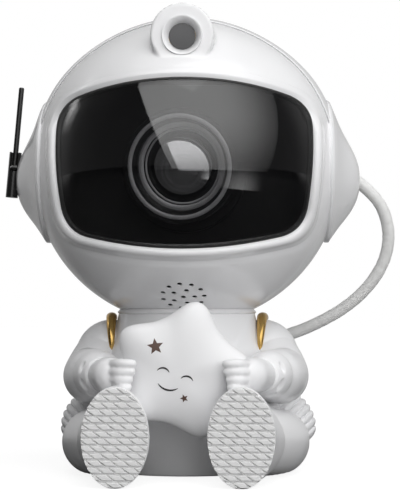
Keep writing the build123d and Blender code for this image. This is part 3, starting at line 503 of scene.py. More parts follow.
helmet = {
    "radius": 60.0,
    "wall": 2.5,
    "seamY": -19.0,
    "flatten": 1.25, "flatFrom": 0.50, "flatTo": 0.95,    # pressed crown, between two sines
    "halfWidth": 48.7, "sideBulge": 2.0, "visorShift": 0.4, "sideLean": 0.0014,
    "top": 30.3, "topSag": 7.6,
    "bottom": -33.3, "bottomSag": 7.4,
    "cornerBlend": 8.2,
    "bossRise": 44.2, "bossFront": 45.2, "bossBack": 15.0, "bossTilt": 2.5,    # lamp housing
    "bossRadius": 11.7, "bossEdge": 0.8, "bossBlend": 1.4,
    "columns": 320, "rows": 72, "crowding": 0.6, "searchSteps": 40, "rearColumns": 256, "rearRows": 44,
    "wellInset": 2.4, "wellRadius": 2.7, "wellDepth": 80,    # screw wells in the rear shell
    "lipHeight": 0.6, "lipWidth": 12.0, "lipFade": 16.0,
    "earY": 8.5, "earRise": 1.2,
}


def arcThrough(half, sag):
    # radius of the circle over a chord of that half length and sag
    return (half ** 2 + sag ** 2) / (2 * sag)


def visorField(x, z):
    # distance outside the visor's outline, seen from the front
    h = helmet
    x = (x - h["visorShift"]) / (1 + h["sideLean"] * z)
    cornerX = h["halfWidth"] - h["sideBulge"]
    topR = arcThrough(cornerX, h["topSag"])
    lowR = arcThrough(cornerX, h["bottomSag"])
    topZ, lowZ = h["top"] - h["topSag"], h["bottom"] + h["bottomSag"]
    sideR = arcThrough((topZ - lowZ) / 2, h["sideBulge"])
    middle = (topZ + lowZ) / 2
    top = np.hypot(x, z - (h["top"] - topR)) - topR
    low = np.hypot(x, z - (h["bottom"] + lowR)) - lowR
    right = np.hypot(x - (h["halfWidth"] - sideR), z - middle) - sideR
    left = np.hypot(x + (h["halfWidth"] - sideR), z - middle) - sideR
    return smoothMax([smoothMax([top, low], 1.0), smoothMax([left, right], 1.0)], h["cornerBlend"])


def visorReach(angles, level):
    # distance of the outline from the head's axis in each direction, at a level outside it
    near, far = np.zeros_like(angles), np.full_like(angles, helmet["radius"] - 0.1)
    for _ in range(helmet["searchSteps"]):
        middle = (near + far) / 2
        inside = visorField(middle * np.cos(angles), middle * np.sin(angles)) < level
        near, far = np.where(inside, middle, near), np.where(inside, far, middle)
    return near


def aimed(tilt, angles):
    # unit vectors at a tilt from straight ahead, round the Y axis
    across = np.sin(tilt)
    return np.stack([across * np.cos(angles), -np.cos(tilt) + 0 * angles, across * np.sin(angles)], -1)


def skinRadius(sine):
    # the helmet's radius in a direction, from the sine of its elevation
    h = helmet
    share = np.clip((sine - h["flatFrom"]) / (h["flatTo"] - h["flatFrom"]), 0, 1)
    return h["radius"] - h["flatten"] * eased(share)


def roundedBoth(a, b, edge):
    # distance outside the overlap of two forms, with a round edge
    return np.hypot(np.maximum(a, 0), np.maximum(b, 0)) + np.minimum(np.maximum(a, b), 0) - edge


def headField(p):
    # distance outside the helmet with its forehead lamp housing, about the head's centre
    h = helmet
    far = np.linalg.norm(p, axis=-1)
    ball = far - skinRadius(p[..., 2] / far)
    tilt = radians(h["bossTilt"])
    axis = np.array([0, -cos(tilt), sin(tilt)])
    q = p - np.array([0, 0, h["bossRise"]])
    along = q @ axis
    across = np.linalg.norm(q - along[..., None] * axis, axis=-1)
    a = across - (h["bossRadius"] - h["bossEdge"])
    b = along - (h["bossFront"] - h["bossEdge"])
    boss = roundedBoth(a, b, h["bossEdge"])
    return smoothMin(ball, np.maximum(boss, h["bossBack"] - along), h["bossBlend"])


def reachOut(directions, field, near, far):
    # how far out a field turns positive in each direction
    low = np.full(directions.shape[:-1], near)
    high = np.full(directions.shape[:-1], far)
    for _ in range(helmet["searchSteps"]):
        middle = (low + high) / 2
        inside = field(directions * middle[..., None]) < 0
        low, high = np.where(inside, middle, low), np.where(inside, high, middle)
    return low


def headPoints(points):
    return [Vector(p) + headCentre for p in points]


def helmetFront():
    h = helmet
    steps = fullTurn(h["columns"])
    angles = steps + pi / 2 - h["crowding"] * np.sin(steps)
    seamTilt = acos(-h["seamY"] / h["radius"])
    startTilt = np.arcsin(visorReach(angles, bezel["grooveAt"] - 0.9) / h["radius"])
    rings = []
    for share in np.linspace(0, 1, h["rows"]):
        tilt = startTilt + (seamTilt - startTilt) * share
        directions = aimed(tilt, angles)
        reach = reachOut(directions, headField, 40, 80)
        level = visorField(directions[:, 0] * reach, directions[:, 2] * reach)
        hollow = np.exp(-((level - bezel["grooveAt"]) / bezel["grooveWidth"]) ** 2)
        reach -= bezel["groove"] * hollow * lipShare(directions[:, 2] * reach)
        rings.append(headPoints(directions * reach[:, None]))
    bm = ringLoft(rings, capStart=False, capEnd=False)
    return newPiece("helmetFront", bm, None, "white_shell", sharp=40)


def drill(piece, tools):
    # cuts the tool meshes out of a piece, then deletes them
    for tool in tools:
        modify(piece, "BOOLEAN", operation="DIFFERENCE", solver="EXACT", object=tool)
    bpy.context.view_layer.update()
    bakeModifiers(piece)
    for tool in tools:
        bpy.data.objects.remove(tool)
    piece.data.set_sharp_from_angle(angle=radians(40))


grille = {
    "angle": 33.9, "hole": 0.95, "rings": ((4.2, 5), (7.7, 11)), "depth": 9.0,
    "gauze": 12.0, "gauzeGap": 0.15, "shadePlugDrop": 0.45,    # half the cloth's arc, its gap under the shell, and how far under the surface its dark plugs end, which are painted shade in the holes
}


def grilleRods(bm, radius, low, high):
    # one rod for each hole, between two distances from the head's centre
    for ring, count in ((0.0, 1), *grille["rings"]):
        for i in range(count):
            turn = 2 * pi * i / count
            sag = ring * ring / (2 * helmet["radius"])
            place = (ring * cos(turn), ring * sin(turn), sag - (low + high) / 2)
            addRod(bm, radius, high - low, 20, place)


def turnToGrille(bm):
    moved(bm, Matrix.Translation(headCentre) @ Matrix.Rotation(radians(-grille["angle"]), 4, "X"))


def grilleTool():
    bm = bmesh.new()
    half = grille["depth"] / 2
    grilleRods(bm, grille["hole"], helmet["radius"] - half, helmet["radius"] + half)
    turnToGrille(bm)
    return objectFrom("cutter", bm)


crown = {
    "rim": 7.42, "sink": 7.25, "window": 5.0, "sinkDepth": 2.0, "windowDepth": 2.2, "lift": -0.5,
    "corner": 0.15, "bore": 10.0, "rimDepth": 4.0, "windowThick": 1.5, "windowCrown": 0.25,
}


def crownFrame():
    # turns a piece made about Z so that it looks out of the lamp housing
    place = Matrix.Translation(headCentre + Vector((0, 0, helmet["bossRise"] + crown["lift"])))
    return place @ Matrix.Rotation(radians(90 - helmet["bossTilt"]), 4, "X")


def crownTool():
    bm = addRod(bmesh.new(), crown["rim"], crown["bore"], 64, (0, 0, helmet["bossFront"]))
    return objectFrom("cutter", moved(bm, crownFrame()))


def crownRim():
    c, front = crown, helmet["bossFront"]
    back = front - c["rimDepth"]
    outside = c["rim"] - 0.02
    profile = [(outside, back), (outside, front + 0.02)]
    mouth = (c["window"], front - c["sinkDepth"])
    profile += roundCorner((c["rim"], front), (c["sink"], front), mouth, c["corner"])
    profile += [mouth, (c["window"], back), (outside, back)]
    face, edge = front - c["windowDepth"], c["window"] - 0.1
    glass = [(0, face + c["windowCrown"]), (c["window"] / 2, face + 0.8 * c["windowCrown"]), (edge, face),
             (edge, face - c["windowThick"]), (0, face - c["windowThick"])]
    for name, points, slot, replaces in (("crownRim", profile, "white_shell", []),
                                         ("crownWindow", glass, "dark_window", ["crown_window"])):
        newPiece(name, moved(spunPiece(points, steps=72), crownFrame()), "head", slot, replaces)


bezel = {
    # (outside the visor's edge, above the skin): a rolled lip at the sides and below, a chamfer at the brow
    "lip": [(-0.5, -2.2), (-0.35, -0.3), (-0.2, 0.35), (0.15, 0.85), (0.7, 1.15), (1.2, 1.15), (1.7, 0.85),
            (2.2, 0.40), (2.8, 0.02), (3.4, -0.22), (4.1, -0.50), (4.8, -0.95)],
    "brow": [(-0.5, -2.6), (-0.45, -1.5), (-0.3, -1.15), (0.1, -0.75), (0.5, -0.38), (0.8, -0.12), (1.0, 0.0),
             (1.5, 0.02), (2.2, 0.02), (3.0, -0.02), (4.1, -0.15), (4.8, -0.55)],
    "lipTop": 11.0, "lipFade": 9.0,    # where the lip ends, and over what height
    "columns": 320,
    "groove": 0.42, "grooveAt": 3.9, "grooveWidth": 1.3,
}
gasket = {"profile": [(-1.3, -2.0), (-1.25, -0.95), (-1.0, -0.8), (-0.6, -0.8), (-0.3, -0.9), (-0.25, -2.0)]}
visorLook = {
    "edge": -0.95, "bevel": 0.8, "bevelDrop": 0.55, "sink": 0.35, "wall": 1.6,
    "rows": 26, "columns": 256,
}


def lipShare(z):
    # 1 where the lip is rolled, 0 along the brow
    return eased(np.clip((bezel["lipTop"] + bezel["lipFade"] - z) / bezel["lipFade"], 0, 1))


def visorStrip(name, profiles, columns, slot, replaces):
    # a band round the visor's edge: with two profiles, the first is the lip and the second the brow
    angles = fullTurn(columns)
    share = lipShare(visorReach(angles, 0) * np.sin(angles))
    lip, brow = profiles[0], profiles[-1]
    rings = []
    for (lipLevel, lipRise), (browLevel, browRise) in zip(lip + lip[:1], brow + brow[:1]):
        level = browLevel + (lipLevel - browLevel) * share
        rise = browRise + (lipRise - browRise) * share
        tilt = np.arcsin(visorReach(angles, level) / helmet["radius"])
        directions = aimed(tilt, angles)
        rings.append(headPoints(directions * (skinRadius(directions[:, 2]) + rise)[:, None]))
    bm = ringLoft(rings, capStart=False, capEnd=False)
    bmesh.ops.remove_doubles(bm, verts=bm.verts, dist=0.0005)
    faceOut(bm)
    return newPiece(name, bm, "head", slot, replaces, sharp=60)


def visorSheet():
    v = visorLook
    angles = fullTurn(v["columns"])
    outer = np.arcsin(visorReach(angles, v["edge"]) / helmet["radius"])
    inner = np.arcsin(visorReach(angles, v["edge"] - v["bevel"]) / helmet["radius"])
    rings = []
    for share in [0] + list(np.linspace(1, 0.02, v["rows"])):
        directions = aimed(inner * share if share else outer, angles)
        drop = v["sink"] + (0 if share else v["bevelDrop"])
        rings.append(headPoints(directions * (skinRadius(directions[:, 2]) - drop)[:, None]))
    bm = ringLoft(rings, capStart=False)
    giveWall(newPiece("visorSheet", bm, "head", "smoked_visor", ["visor"], sharp=20), v["wall"])


def helmetRear():
    # behind the seam comes a raised lip, over the head only, and then the plain skin
    h = helmet
    angles = fullTurn(h["rearColumns"])
    seamTilt = acos(-h["seamY"] / h["radius"])
    lipEnd = acos(-(h["seamY"] + h["lipWidth"]) / h["radius"])
    steps = [(seamTilt, 0.55), (seamTilt + 0.006, 0.9), (seamTilt + 0.012, 1.0)]
    steps += [(tilt, 1.0) for tilt in np.linspace(seamTilt + 0.03, lipEnd - 0.02, 6)]
    steps += [(lipEnd - 0.008, 1.0), (lipEnd, 0.75), (lipEnd + 0.006, 0.2), (lipEnd + 0.014, 0.0)]
    steps += [(tilt, 0.0) for tilt in np.linspace(lipEnd + 0.05, pi - 0.03, h["rearRows"])]
    fade = eased(np.clip((h["radius"] * np.sin(angles) - h["earRise"]) / h["lipFade"], 0, 1))
    rings = []
    for tilt, share in steps:
        directions = aimed(np.full(len(angles), tilt), angles)
        reach = skinRadius(directions[:, 2]) + h["lipHeight"] * share * fade
        rings.append(headPoints(directions * reach[:, None]))
    piece = newPiece("helmetRear", ringLoft(rings, capStart=False), None, "white_shell", sharp=40)
    giveWall(piece, h["wall"])
    bakeModifiers(piece)
    return piece


def screwWells():
    h = helmet
    bm = bmesh.new()
    low, high = boxOf("helmet_screws")
    wellX, wellZ = high.x - h["wellInset"], (high.z - low.z) / 2 - h["wellInset"]
    for x in (-wellX, wellX):
        for z in (-wellZ, wellZ):
            place = (x, high.y + h["wellDepth"] / 2, headCentre.z + z)
            addRod(bm, h["wellRadius"], h["wellDepth"], 32, place, "Y")
    return objectFrom("cutter", bm)


def grilleClothAndShadePlugs():
    # dark cloth behind the holes, with dark plugs pressed into them that are painted shade in the holes
    reach = helmet["radius"] - helmet["wall"] - grille["gauzeGap"]
    turns = np.linspace(0, radians(grille["gauze"]), 8)
    arc = [(reach * sin(t), -reach * cos(t)) for t in turns]
    inner = [(r * 0.99, z * 0.99) for r, z in reversed(arc)]
    bm = spunPiece(arc + inner, steps=48)
    # the plugs: dark rods in the holes, painted shade that stands in for the shade inside them
    grilleRods(bm, grille["hole"] - 0.02, reach - 0.3, helmet["radius"] - grille["shadePlugDrop"])
    turnToGrille(bm)
    newPiece("grilleClothAndShadePlugs", bm, "head", "black_matte")


def makeHelmet():
    front = helmetFront()
    giveWall(front, helmet["wall"])
    bakeModifiers(front)
    drill(front, [grilleTool(), crownTool()])
    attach(front, "head")
    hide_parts("helmet_front_shell")
    crownRim()
    grilleClothAndShadePlugs()
    visorStrip("visorBezel", [bezel["lip"], bezel["brow"]], bezel["columns"], "white_shell", ["visor_bezel"])
    visorStrip("visorGasket", [gasket["profile"]], bezel["columns"], "gasket", ["visor_gasket"])
    visorSheet()
    rear = helmetRear()
    drill(rear, [screwWells()])
    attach(rear, "head")
    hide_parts("helmet_rear_shell")
    print("stage: helmet")


makeHelmet()

ear = {
    "radius": 27.4, "rise": 1.4, "discY": 3.0, "discZ": -0.3,
    "knob": 15.2, "knobTop": 8.8, "knobReach": 65.8, "knobEdge": 5.0, "knobRun": 14.0, "knobBlend": 15.0,
    "knobDrop": 5.0,
    "rings": 44, "columns": 128,
}


def earField(p):
    # distance outside the right ear cap: a raised disc that swells into a knob
    e = ear
    far = np.linalg.norm(p, axis=-1)
    ball = far - (skinRadius(p[..., 2] / far) + e["rise"])
    q = p - np.array([0, helmet["earY"], helmet["earRise"] - e["knobDrop"]])
    across = np.hypot(q[..., 1], q[..., 2])
    slope = (e["knob"] - e["knobTop"]) / e["knobRun"]
    a = (across - e["knobTop"] + e["knobEdge"] - slope * (e["knobReach"] - q[..., 0])) / hypot(1, slope)
    b = q[..., 0] - (e["knobReach"] - e["knobEdge"])
    return smoothMin(ball, roundedBoth(a, b, e["knobEdge"]), e["knobBlend"])


def earCap(name, side, replaces):
    # rings from the cap's edge to the middle of the knob, pushed out to the cap's form
    e = ear
    turns = fullTurn(e["columns"])
    rings = []
    steps = [(1.0, "skin"), (1.0, "round")]
    steps += [(size, "field") for size in np.linspace(1, 0.02, e["rings"])[1:]]
    for size, kind in steps:
        middleY = helmet["earY"] + (e["discY"] - helmet["earY"]) * size
        middleZ = e["discZ"] - (e["discZ"] - helmet["earRise"] + e["knobDrop"]) * (1 - size)
        y = middleY + e["radius"] * size * np.cos(turns)
        z = middleZ + e["radius"] * size * np.sin(turns)
        x = np.sqrt(helmet["radius"] ** 2 - y ** 2 - z ** 2)
        directions = np.stack([x, y, z], -1) / helmet["radius"]
        if kind == "skin":
            reach = skinRadius(directions[:, 2]) - 0.3
        elif kind == "round":
            reach = skinRadius(directions[:, 2]) + e["rise"] - 0.5
        else:
            reach = reachOut(directions, earField, 50, 90)
        rings.append(headPoints(directions * reach[:, None]))
    bm = ringLoft(rings)
    if side < 0:
        flipToLeft(bm)
    newPiece(name, bm, "head", "white_shell", replaces, sharp=40)


earCap("earCapRight", 1, ["ear_cap_right"])
earCap("earCapLeft", -1, ["ear_cap_left"])
print("stage: ear caps")


lens = {
    "z": headCentre.z - 2.0,
    "plate": (104.0, 66.0, 2.0, 26.0),      # width, height, thickness and corner radius of the plate
    "plateY": -17.0,
    "collar": 23.6, "collarFront": -22.5,
    "yaw": -10.0, "pitch": 8.0, "lift": 0.9,      # how the turned pieces are aimed
    "pivot": -33.6,
    "bore": 20.5, "collarEdge": 0.5,
    # (radius, y) from the tube's back over its mouth and down the steps to the lens
    "tube": [(21.3, -19.0), (21.3, -39.4), (20.9, -40.0), (19.9, -40.0), (18.5, -39.9), (18.3, -38.4),
             (17.6, -37.4), (16.6, -37.2), (16.5, -36.2), (14.6, -35.4), (14.4, -34.6), (13.4, -33.6),
             (12.4, -33.2), (11.7, -32.0), (11.2, -31.2), (10.75, -31.0), (10.75, -19.0)],
    # middle radius, y, half width and half height of each ring
    "rings": {"lensRingOuter": (18.75, -40.15, 0.80, 0.34, "lens_ring_outer"),
              "lensRingInner": (13.9, -34.7, 0.42, 0.40, "lens_ring_inner"),
              "lensBand": (15.5, -35.9, 1.05, 0.50, "")},
    "dome": 10.7, "domeRise": 2.2, "seat": -34.5,
}


def aimLens(bm):
    # a little to the left and down, about the inner ring
    pivot = Vector((0, lens["pivot"], lens["z"]))
    turn = Matrix.Rotation(radians(lens["yaw"]), 4, "Z")
    turn @= Matrix.Rotation(radians(lens["pitch"]), 4, "X")
    lifted = pivot + Vector((0, 0, lens["lift"]))
    moved(bm, Matrix.Translation(lifted) @ turn @ Matrix.Translation(-pivot))


def turnedLens(name, profile, slot, replaces=(), straight=False):
    bm = spunPiece(profile, along=(0, 1, 0), centre=(0, 0, lens["z"]), steps=128)
    if straight:
        bmesh.ops.translate(bm, verts=bm.verts, vec=(0, 0, lens["lift"]))
    else:
        aimLens(bm)
    newPiece(name, bm, "head", slot, replaces, sharp=30)


def lensPlate():
    # flat plate with round corners, and the collar that the tube sits in
    width, height, thick, corner = lens["plate"]
    bm = bmesh.new()
    bmesh.ops.create_cube(bm, size=1)
    bmesh.ops.scale(bm, vec=(width, thick, height), verts=bm.verts)
    upright = [e for e in bm.edges if abs(e.verts[0].co.y - e.verts[1].co.y) > thick / 2]
    bmesh.ops.bevel(bm, geom=upright, offset=corner, segments=12, profile=0.5, affect="EDGES", material=-1)
    bmesh.ops.translate(bm, verts=bm.verts, vec=(0, lens["plateY"], lens["z"]))
    piece = newPiece("lensPlate", bm, "head", "black_matte", ["lens_barrel"])
    modify(piece, "BEVEL", width=0.3 * mm, segments=2, limit_method="ANGLE", angle_limit=radians(35),
           harden_normals=False)
    outside, edge, back, front = lens["collar"], lens["collarEdge"], lens["plateY"], lens["collarFront"]
    profile = [(outside, back), (outside, front + edge), (outside - edge, front), (lens["bore"], front),
               (lens["bore"], back), (outside, back)]
    bm = spunPiece(profile, along=(0, 1, 0), centre=(0, 0, lens["z"] + lens["lift"] / 2))
    newPiece("lensCollar", bm, "head", "black_matte")


def makeLens():
    lensPlate()
    turnedLens("lensTube", lens["tube"] + lens["tube"][:1], "black_gloss")
    for name, (radius, y, wide, deep, replaced) in lens["rings"].items():
        wire = [(radius + wide * cos(t), y + deep * sin(t))
                for t in np.linspace(0, 2 * pi, 13)]
        turnedLens(name, wire, "bright_ring", [replaced] if replaced else [])
    curve = arcThrough(lens["dome"], lens["domeRise"])
    bend = asin(lens["dome"] / curve)
    dome = [(curve * sin(t), lens["seat"] - curve * (cos(t) - cos(bend)))
            for t in np.linspace(0, bend, 18)]
    dome += [(lens["dome"], lens["seat"] + 2.5), (0, lens["seat"] + 2.5)]
    turnedLens("lensDome", dome, "clear_glass", ["front_lens"], straight=True)
    print("stage: lens")


makeLens()


torso = {
    "foot": 35.0, "belly": 36.0, "bellyZ": 18.0, "shoulder": 28.5, "shoulderZ": bodyTop - 9.2,
    "rim": 25.8, "rimRise": 1.2, "inner": 23.6, "floor": 0.12, "edge": 1.2,
    "lapelTop": 24.3, "lapelLow": 19.0, "lapelTopZ": 59.3, "lapelLowZ": 48.8, "strapX": -22.6,
    "lapelRise": 0.45, "lapelFade": 0.7, "chestZ": 36.0, "chestY": -2.0,
    "columns": 300, "rows": 84,
}


def circleThrough(a, b, c):
    # centre and radius of the circle through three points
    (x1, z1), (x2, z2), (x3, z3) = a, b, c
    p, q, r = (x * x + z * z for x, z in (a, b, c))
    d = 2 * (x1 * (z2 - z3) + x2 * (z3 - z1) + x3 * (z1 - z2))
    x = (p * (z2 - z3) + q * (z3 - z1) + r * (z1 - z2)) / d
    z = (p * (x3 - x2) + q * (x1 - x3) + r * (x2 - x1)) / d
    return x, z, hypot(x1 - x, z1 - z)


def torsoProfile():
    # (radius, height) points from the middle of the underside to the neck
    t = torso
    a, c = (t["foot"], t["floor"]), (t["shoulder"], t["shoulderZ"])
    cx, cz, radius = circleThrough(a, (t["belly"], t["bellyZ"]), c)
    turns = np.linspace(atan2(a[1] - cz, a[0] - cx) + 0.03, atan2(c[1] - cz, c[0] - cx), t["rows"])
    side = [(cx + radius * cos(u), cz + radius * sin(u)) for u in turns]
    foot = roundCorner((20, t["floor"]), a, side[2], t["edge"], 6)
    top = bodyTop + t["rimRise"]
    rim = roundCorner(side[-1], (t["rim"], top), (20, top), 0.8, 4)
    neck = smoothPath([side[-1], (27.4, t["shoulderZ"] + 4.6), rim[0]], 8)[1:-1]
    return foot, side[3:], [tuple(p) for p in neck], rim


def chestRise(x, z):
    # how far the suit stands above the bib at a place on the chest
    t = torso
    slope = (t["lapelTop"] - t["lapelLow"]) / (t["lapelTopZ"] - t["lapelLowZ"])
    edge = t["lapelLow"] + (z - t["lapelLowZ"]) * slope
    right = np.clip((x - edge) / t["lapelFade"] + 0.5, 0, 1)
    left = np.clip((t["strapX"] - x) / t["lapelFade"] + 0.5, 0, 1)
    return t["lapelRise"] * np.maximum(right, left)


def makeTorso():
    foot, side, neck, rim = torsoProfile()
    inner, top = torso["inner"], bodyTop + torso["rimRise"]
    profile = [(inner, torso["floor"])] + foot + side + neck + rim + [(inner, top)]
    for name, start, node in (("bodyFront", 180, "body_front_shell"), ("bodyRear", 0, "body_rear_shell")):
        bm = spunPiece(profile, steps=torso["columns"] // 2, turn=180, start=start)
        bmesh.ops.holes_fill(bm, edges=[e for e in bm.edges if e.is_boundary], sides=0)
        faceOut(bm)
        if name == "bodyFront":
            for v in bm.verts:
                if torso["chestZ"] < v.co.z < top - 0.05 and v.co.y < torso["chestY"]:
                    out = Vector((v.co.x, v.co.y, 0)).normalized()
                    v.co += out * float(chestRise(v.co.x, v.co.z))
        newPiece(name, bm, "body", "white_suit", [node], sharp=40)


makeTorso()

neckLook = {
    "radius": 26.3, "edge": 0.4, "bevel": 0.15, "rise": 1.35, "gap": 0.12, "stem": 19.9, "flange": 23.3,
}


def makeNeck():
    n = neckLook
    low, high = boxOf("neck_ring")
    base = bodyTop + n["rise"]
    hollow = helmet["radius"] + n["gap"]

    def seat(radius):    # height of the hollow that the helmet sits in
        return headCentre.z - sqrt(hollow ** 2 - radius ** 2)

    top = seat(n["radius"] - n["bevel"])
    profile = [(n["stem"], low.z), (n["stem"], bodyTop - 2), (n["flange"], bodyTop - 2), (n["flange"], base)]
    profile += roundCorner((n["flange"], base), (n["radius"], base), (n["radius"], top), n["edge"])
    profile += [(n["radius"], top - 0.25), (n["radius"] - n["bevel"], top)]
    profile += [(radius, seat(radius)) for radius in np.linspace(n["radius"] - 0.7, 0.0, 15)]
    profile += [(0, low.z), (n["stem"], low.z)]
    newPiece("neckRing", spunPiece(profile, steps=128), "neck", "white_shell", ["neck_ring"], sharp=30)


makeNeck()
print("stage: body")


starLook = {
    "z": 40.0, "front": -62.0, "half": 6.5, "lean": 75.0,
    "mean": 21.875, "points": 2.85, "sharpen": 0.375, "puff": 2.35,
    "columns": 240, "rows": 34, "stem": 6.0, "stemSink": 4.0,
}


def starReach(angles):
    # distance of the star's outline from its middle
    s = starLook
    t = 5 * (angles - radians(s["lean"]))
    return s["mean"] + s["points"] * np.cos(t) + s["sharpen"] * np.cos(2 * t)


def starHalf(name, side, replaces):
    s = starLook
    angles = fullTurn(s["columns"])
    reach = starReach(angles)
    seam = s["front"] + s["half"]
    rings = []
    for u in np.linspace(0, pi / 2 * 0.985, s["rows"]):
        share = cos(u) ** (2 / s["puff"])
        depth = s["half"] * sin(u) ** (2 / s["puff"])
        y = seam + side * max(depth, 0.06)
        rings.append([Vector((r * share * cos(a), y, s["z"] + r * share * sin(a)))
                      for r, a in zip(reach, angles)])
    bm = ringLoft(rings)
    if side > 0:
        start, end = seam + s["stemSink"], boxOf("star_back")[1].y
        addRod(bm, s["stem"], end - start, 48, (0, (start + end) / 2, s["z"]), "Y")
    newPiece(name, bm, "body", "white_suit", replaces, sharp=50)


def starFrontY(x, z):
    s = starLook
    dx, dz = x, z - s["z"]
    share = min(0.999, hypot(dx, dz) / float(starReach(np.array(atan2(dz, dx)))))
    depth = s["half"] * (1 - share ** s["puff"]) ** (1 / s["puff"])
    return s["front"] + s["half"] - depth


prints = {
    "proud": 0.06, "notch": 0.45,
    # middle x, z, reach and turn of each small star
    "stars": {"printStarLarge": (-8.6, 48.6, 3.0, 8), "printStarSmall": (1.6, 30.4, 1.5, 20)},
    # middle x, z, radius, start and end angle, widest stroke
    "arcs": {"printArcLeft": (-6.0, 38.6, 2.5, 20, 140, 0.62),
             "printArcRight": (2.3, 35.7, 2.5, 18, 138, 0.62),
             "printArcLow": (-3.2, 38.4, 5.2, 212, 300, 0.66)},
}


def layPrint(name, bm, ink):
    # lays a flat print on the star's face and turns it to the front
    for v in bm.verts:
        v.co.y += starFrontY(v.co.x, v.co.z) - prints["proud"]
    faceOut(bm)
    if sum(f.normal.y for f in bm.faces) > 0:
        bmesh.ops.reverse_faces(bm, faces=bm.faces)
    newPiece(name, bm, "body", "white_suit", material=ink)


def printStar(name, x, z, reach, turn):
    bm = bmesh.new()
    made = bmesh.ops.create_circle(bm, cap_ends=True, segments=10, radius=reach)
    for i, v in enumerate(made["verts"]):
        size = reach * (1.0 if i % 2 == 0 else prints["notch"])
        angle = radians(90 + turn + 36 * i)
        v.co = Vector((x + size * cos(angle), 0, z + size * sin(angle)))
    bmesh.ops.poke(bm, faces=bm.faces)
    bmesh.ops.subdivide_edges(bm, edges=bm.edges, cuts=3, use_grid_fill=True)
    layPrint(name, bm, printInk)


def printArc(name, x, z, radius, start, end, stroke):
    sides = ([], [])
    for share in np.linspace(0, 1, 25):
        turn = radians(start + (end - start) * share)
        half = stroke / 2 * sin(pi * (0.04 + 0.92 * share)) ** 0.7
        for side, reach in zip(sides, (radius + half, radius - half)):
            side.append(Vector((x + reach * cos(turn), 0, z + reach * sin(turn))))
    layPrint(name, ringLoft(sides, closed=False), darkInk)


starHalf("starFront", -1, ["star_front"])
starHalf("starBack", 1, ["star_back"])
for printName, values in prints["stars"].items():
    printStar(printName, *values)
for printName, values in prints["arcs"].items():
    printArc(printName, *values)
print("stage: star")


# stations along the sleeve: x, y, z, radius, for the right side
arm = {
    "stations": [(20, 3, 47, 9.0), (29.3, 1, 46.0, 12.0), (33.2, -2.5, 42.0, 11.2), (36.0, -9, 36.9, 10.9),
                 (35.6, -19, 36.8, 10.1), (33.8, -27.5, 37.2, 9.8), (32.2, -33.0, 37.6, 8.6),
                 (31.2, -36.5, 37.8, 9.0), (30.2, -40.5, 38.0, 8.2), (29.2, -44.0, 38.0, 6.2)],
    "steps": 14, "around": 128,
    # dents between two folds: share of the length, turn in degrees, depth, half length, half turn
    "dents": [(0.925, 120, 2.0, 0.018, 14), (0.93, 174, 2.2, 0.020, 16), (0.905, 215, 2.1, 0.020, 14),
              (0.42, 175, 0.8, 0.012, 34)],
}


def displaced(rings, dents):
    # pushes rings in where the dents are
    rings = rings.copy()
    count, around = rings.shape[:2]
    shares = np.linspace(0, 1, count)[:, None]
    turns = np.degrees(fullTurn(around))[None, :]
    depth = np.zeros((count, around))
    for share, turn, deep, halfLength, halfTurn in dents:
        away = (turns - turn + 180) % 360 - 180
        depth += deep * np.exp(-(((shares - share) / halfLength) ** 2 + (away / halfTurn) ** 2) ** 2)
    centres = rings.mean(axis=1, keepdims=True)
    out = rings - centres
    length = np.linalg.norm(out, axis=2, keepdims=True)
    return centres + out * (1 - depth[..., None] / length)


hand = {
    "palm": [(29.6, -40.0, 38.0, 4.5), (28.8, -43.0, 38.0, 5.6), (27.4, -47.0, 38.1, 6.2),
             (26.0, -51.5, 38.2, 6.5), (25.1, -56.0, 38.3, 6.5), (24.5, -59.5, 38.3, 5.7),
             (24.1, -61.9, 38.3, 3.4), (24.0, -62.6, 38.3, 1.3)],    # x, y, z, radius
    # the four fingers from the lowest up
    "low": 34.3, "pitch": 2.75,
    # x of the tip and of the root, and how much higher the root is
    "fingers": ((16.7, 23.0, 1.6), (16.3, 23.9, 0.6), (15.5, 24.1, -0.6), (15.1, 23.4, -1.6)),
    "voxel": 0.36, "smoothing": 5,
}


def gloveFinger(bm, z, tipX, rootX, lift):
    middle = (rootX + tipX) / 2 - 0.4
    stations = [(rootX + 1.5, -57.5, z + lift * 0.4, 1.7), (rootX, -60.6, z + lift * 0.2, 1.8),
                (rootX - 2.2, -63.4, z, 1.85), (middle, -64.2, z, 1.8), (tipX + 1.6, -64.1, z, 1.65),
                (tipX + 0.4, -63.9, z, 1.2), (tipX, -63.8, z, 0.4)]
    ringLoft(tubeRings(stations, 4, 20), bm)


def makeArms():
    for word in ("Right", "Left"):
        node = word.lower()
        sleeve = ringLoft(displaced(tubeRings(arm["stations"], arm["steps"], arm["around"]), arm["dents"]))
        glove = ringLoft(tubeRings(hand["palm"], 5, 40))
        for i, finger in enumerate(hand["fingers"]):
            gloveFinger(glove, hand["low"] + i * hand["pitch"], *finger)
        if word == "Left":
            flipToLeft(sleeve)
            flipToLeft(glove)
        newPiece("sleeve" + word, sleeve, "body", "white_suit", ["sleeve_" + node], sharp=60)
        piece = newPiece("glove" + word, glove, None, "white_suit", sharp=60)
        softUnion(piece, hand["voxel"], hand["smoothing"])
        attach(piece, "body")
        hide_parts("glove_" + node)
    print("stage: arms")


makeArms()


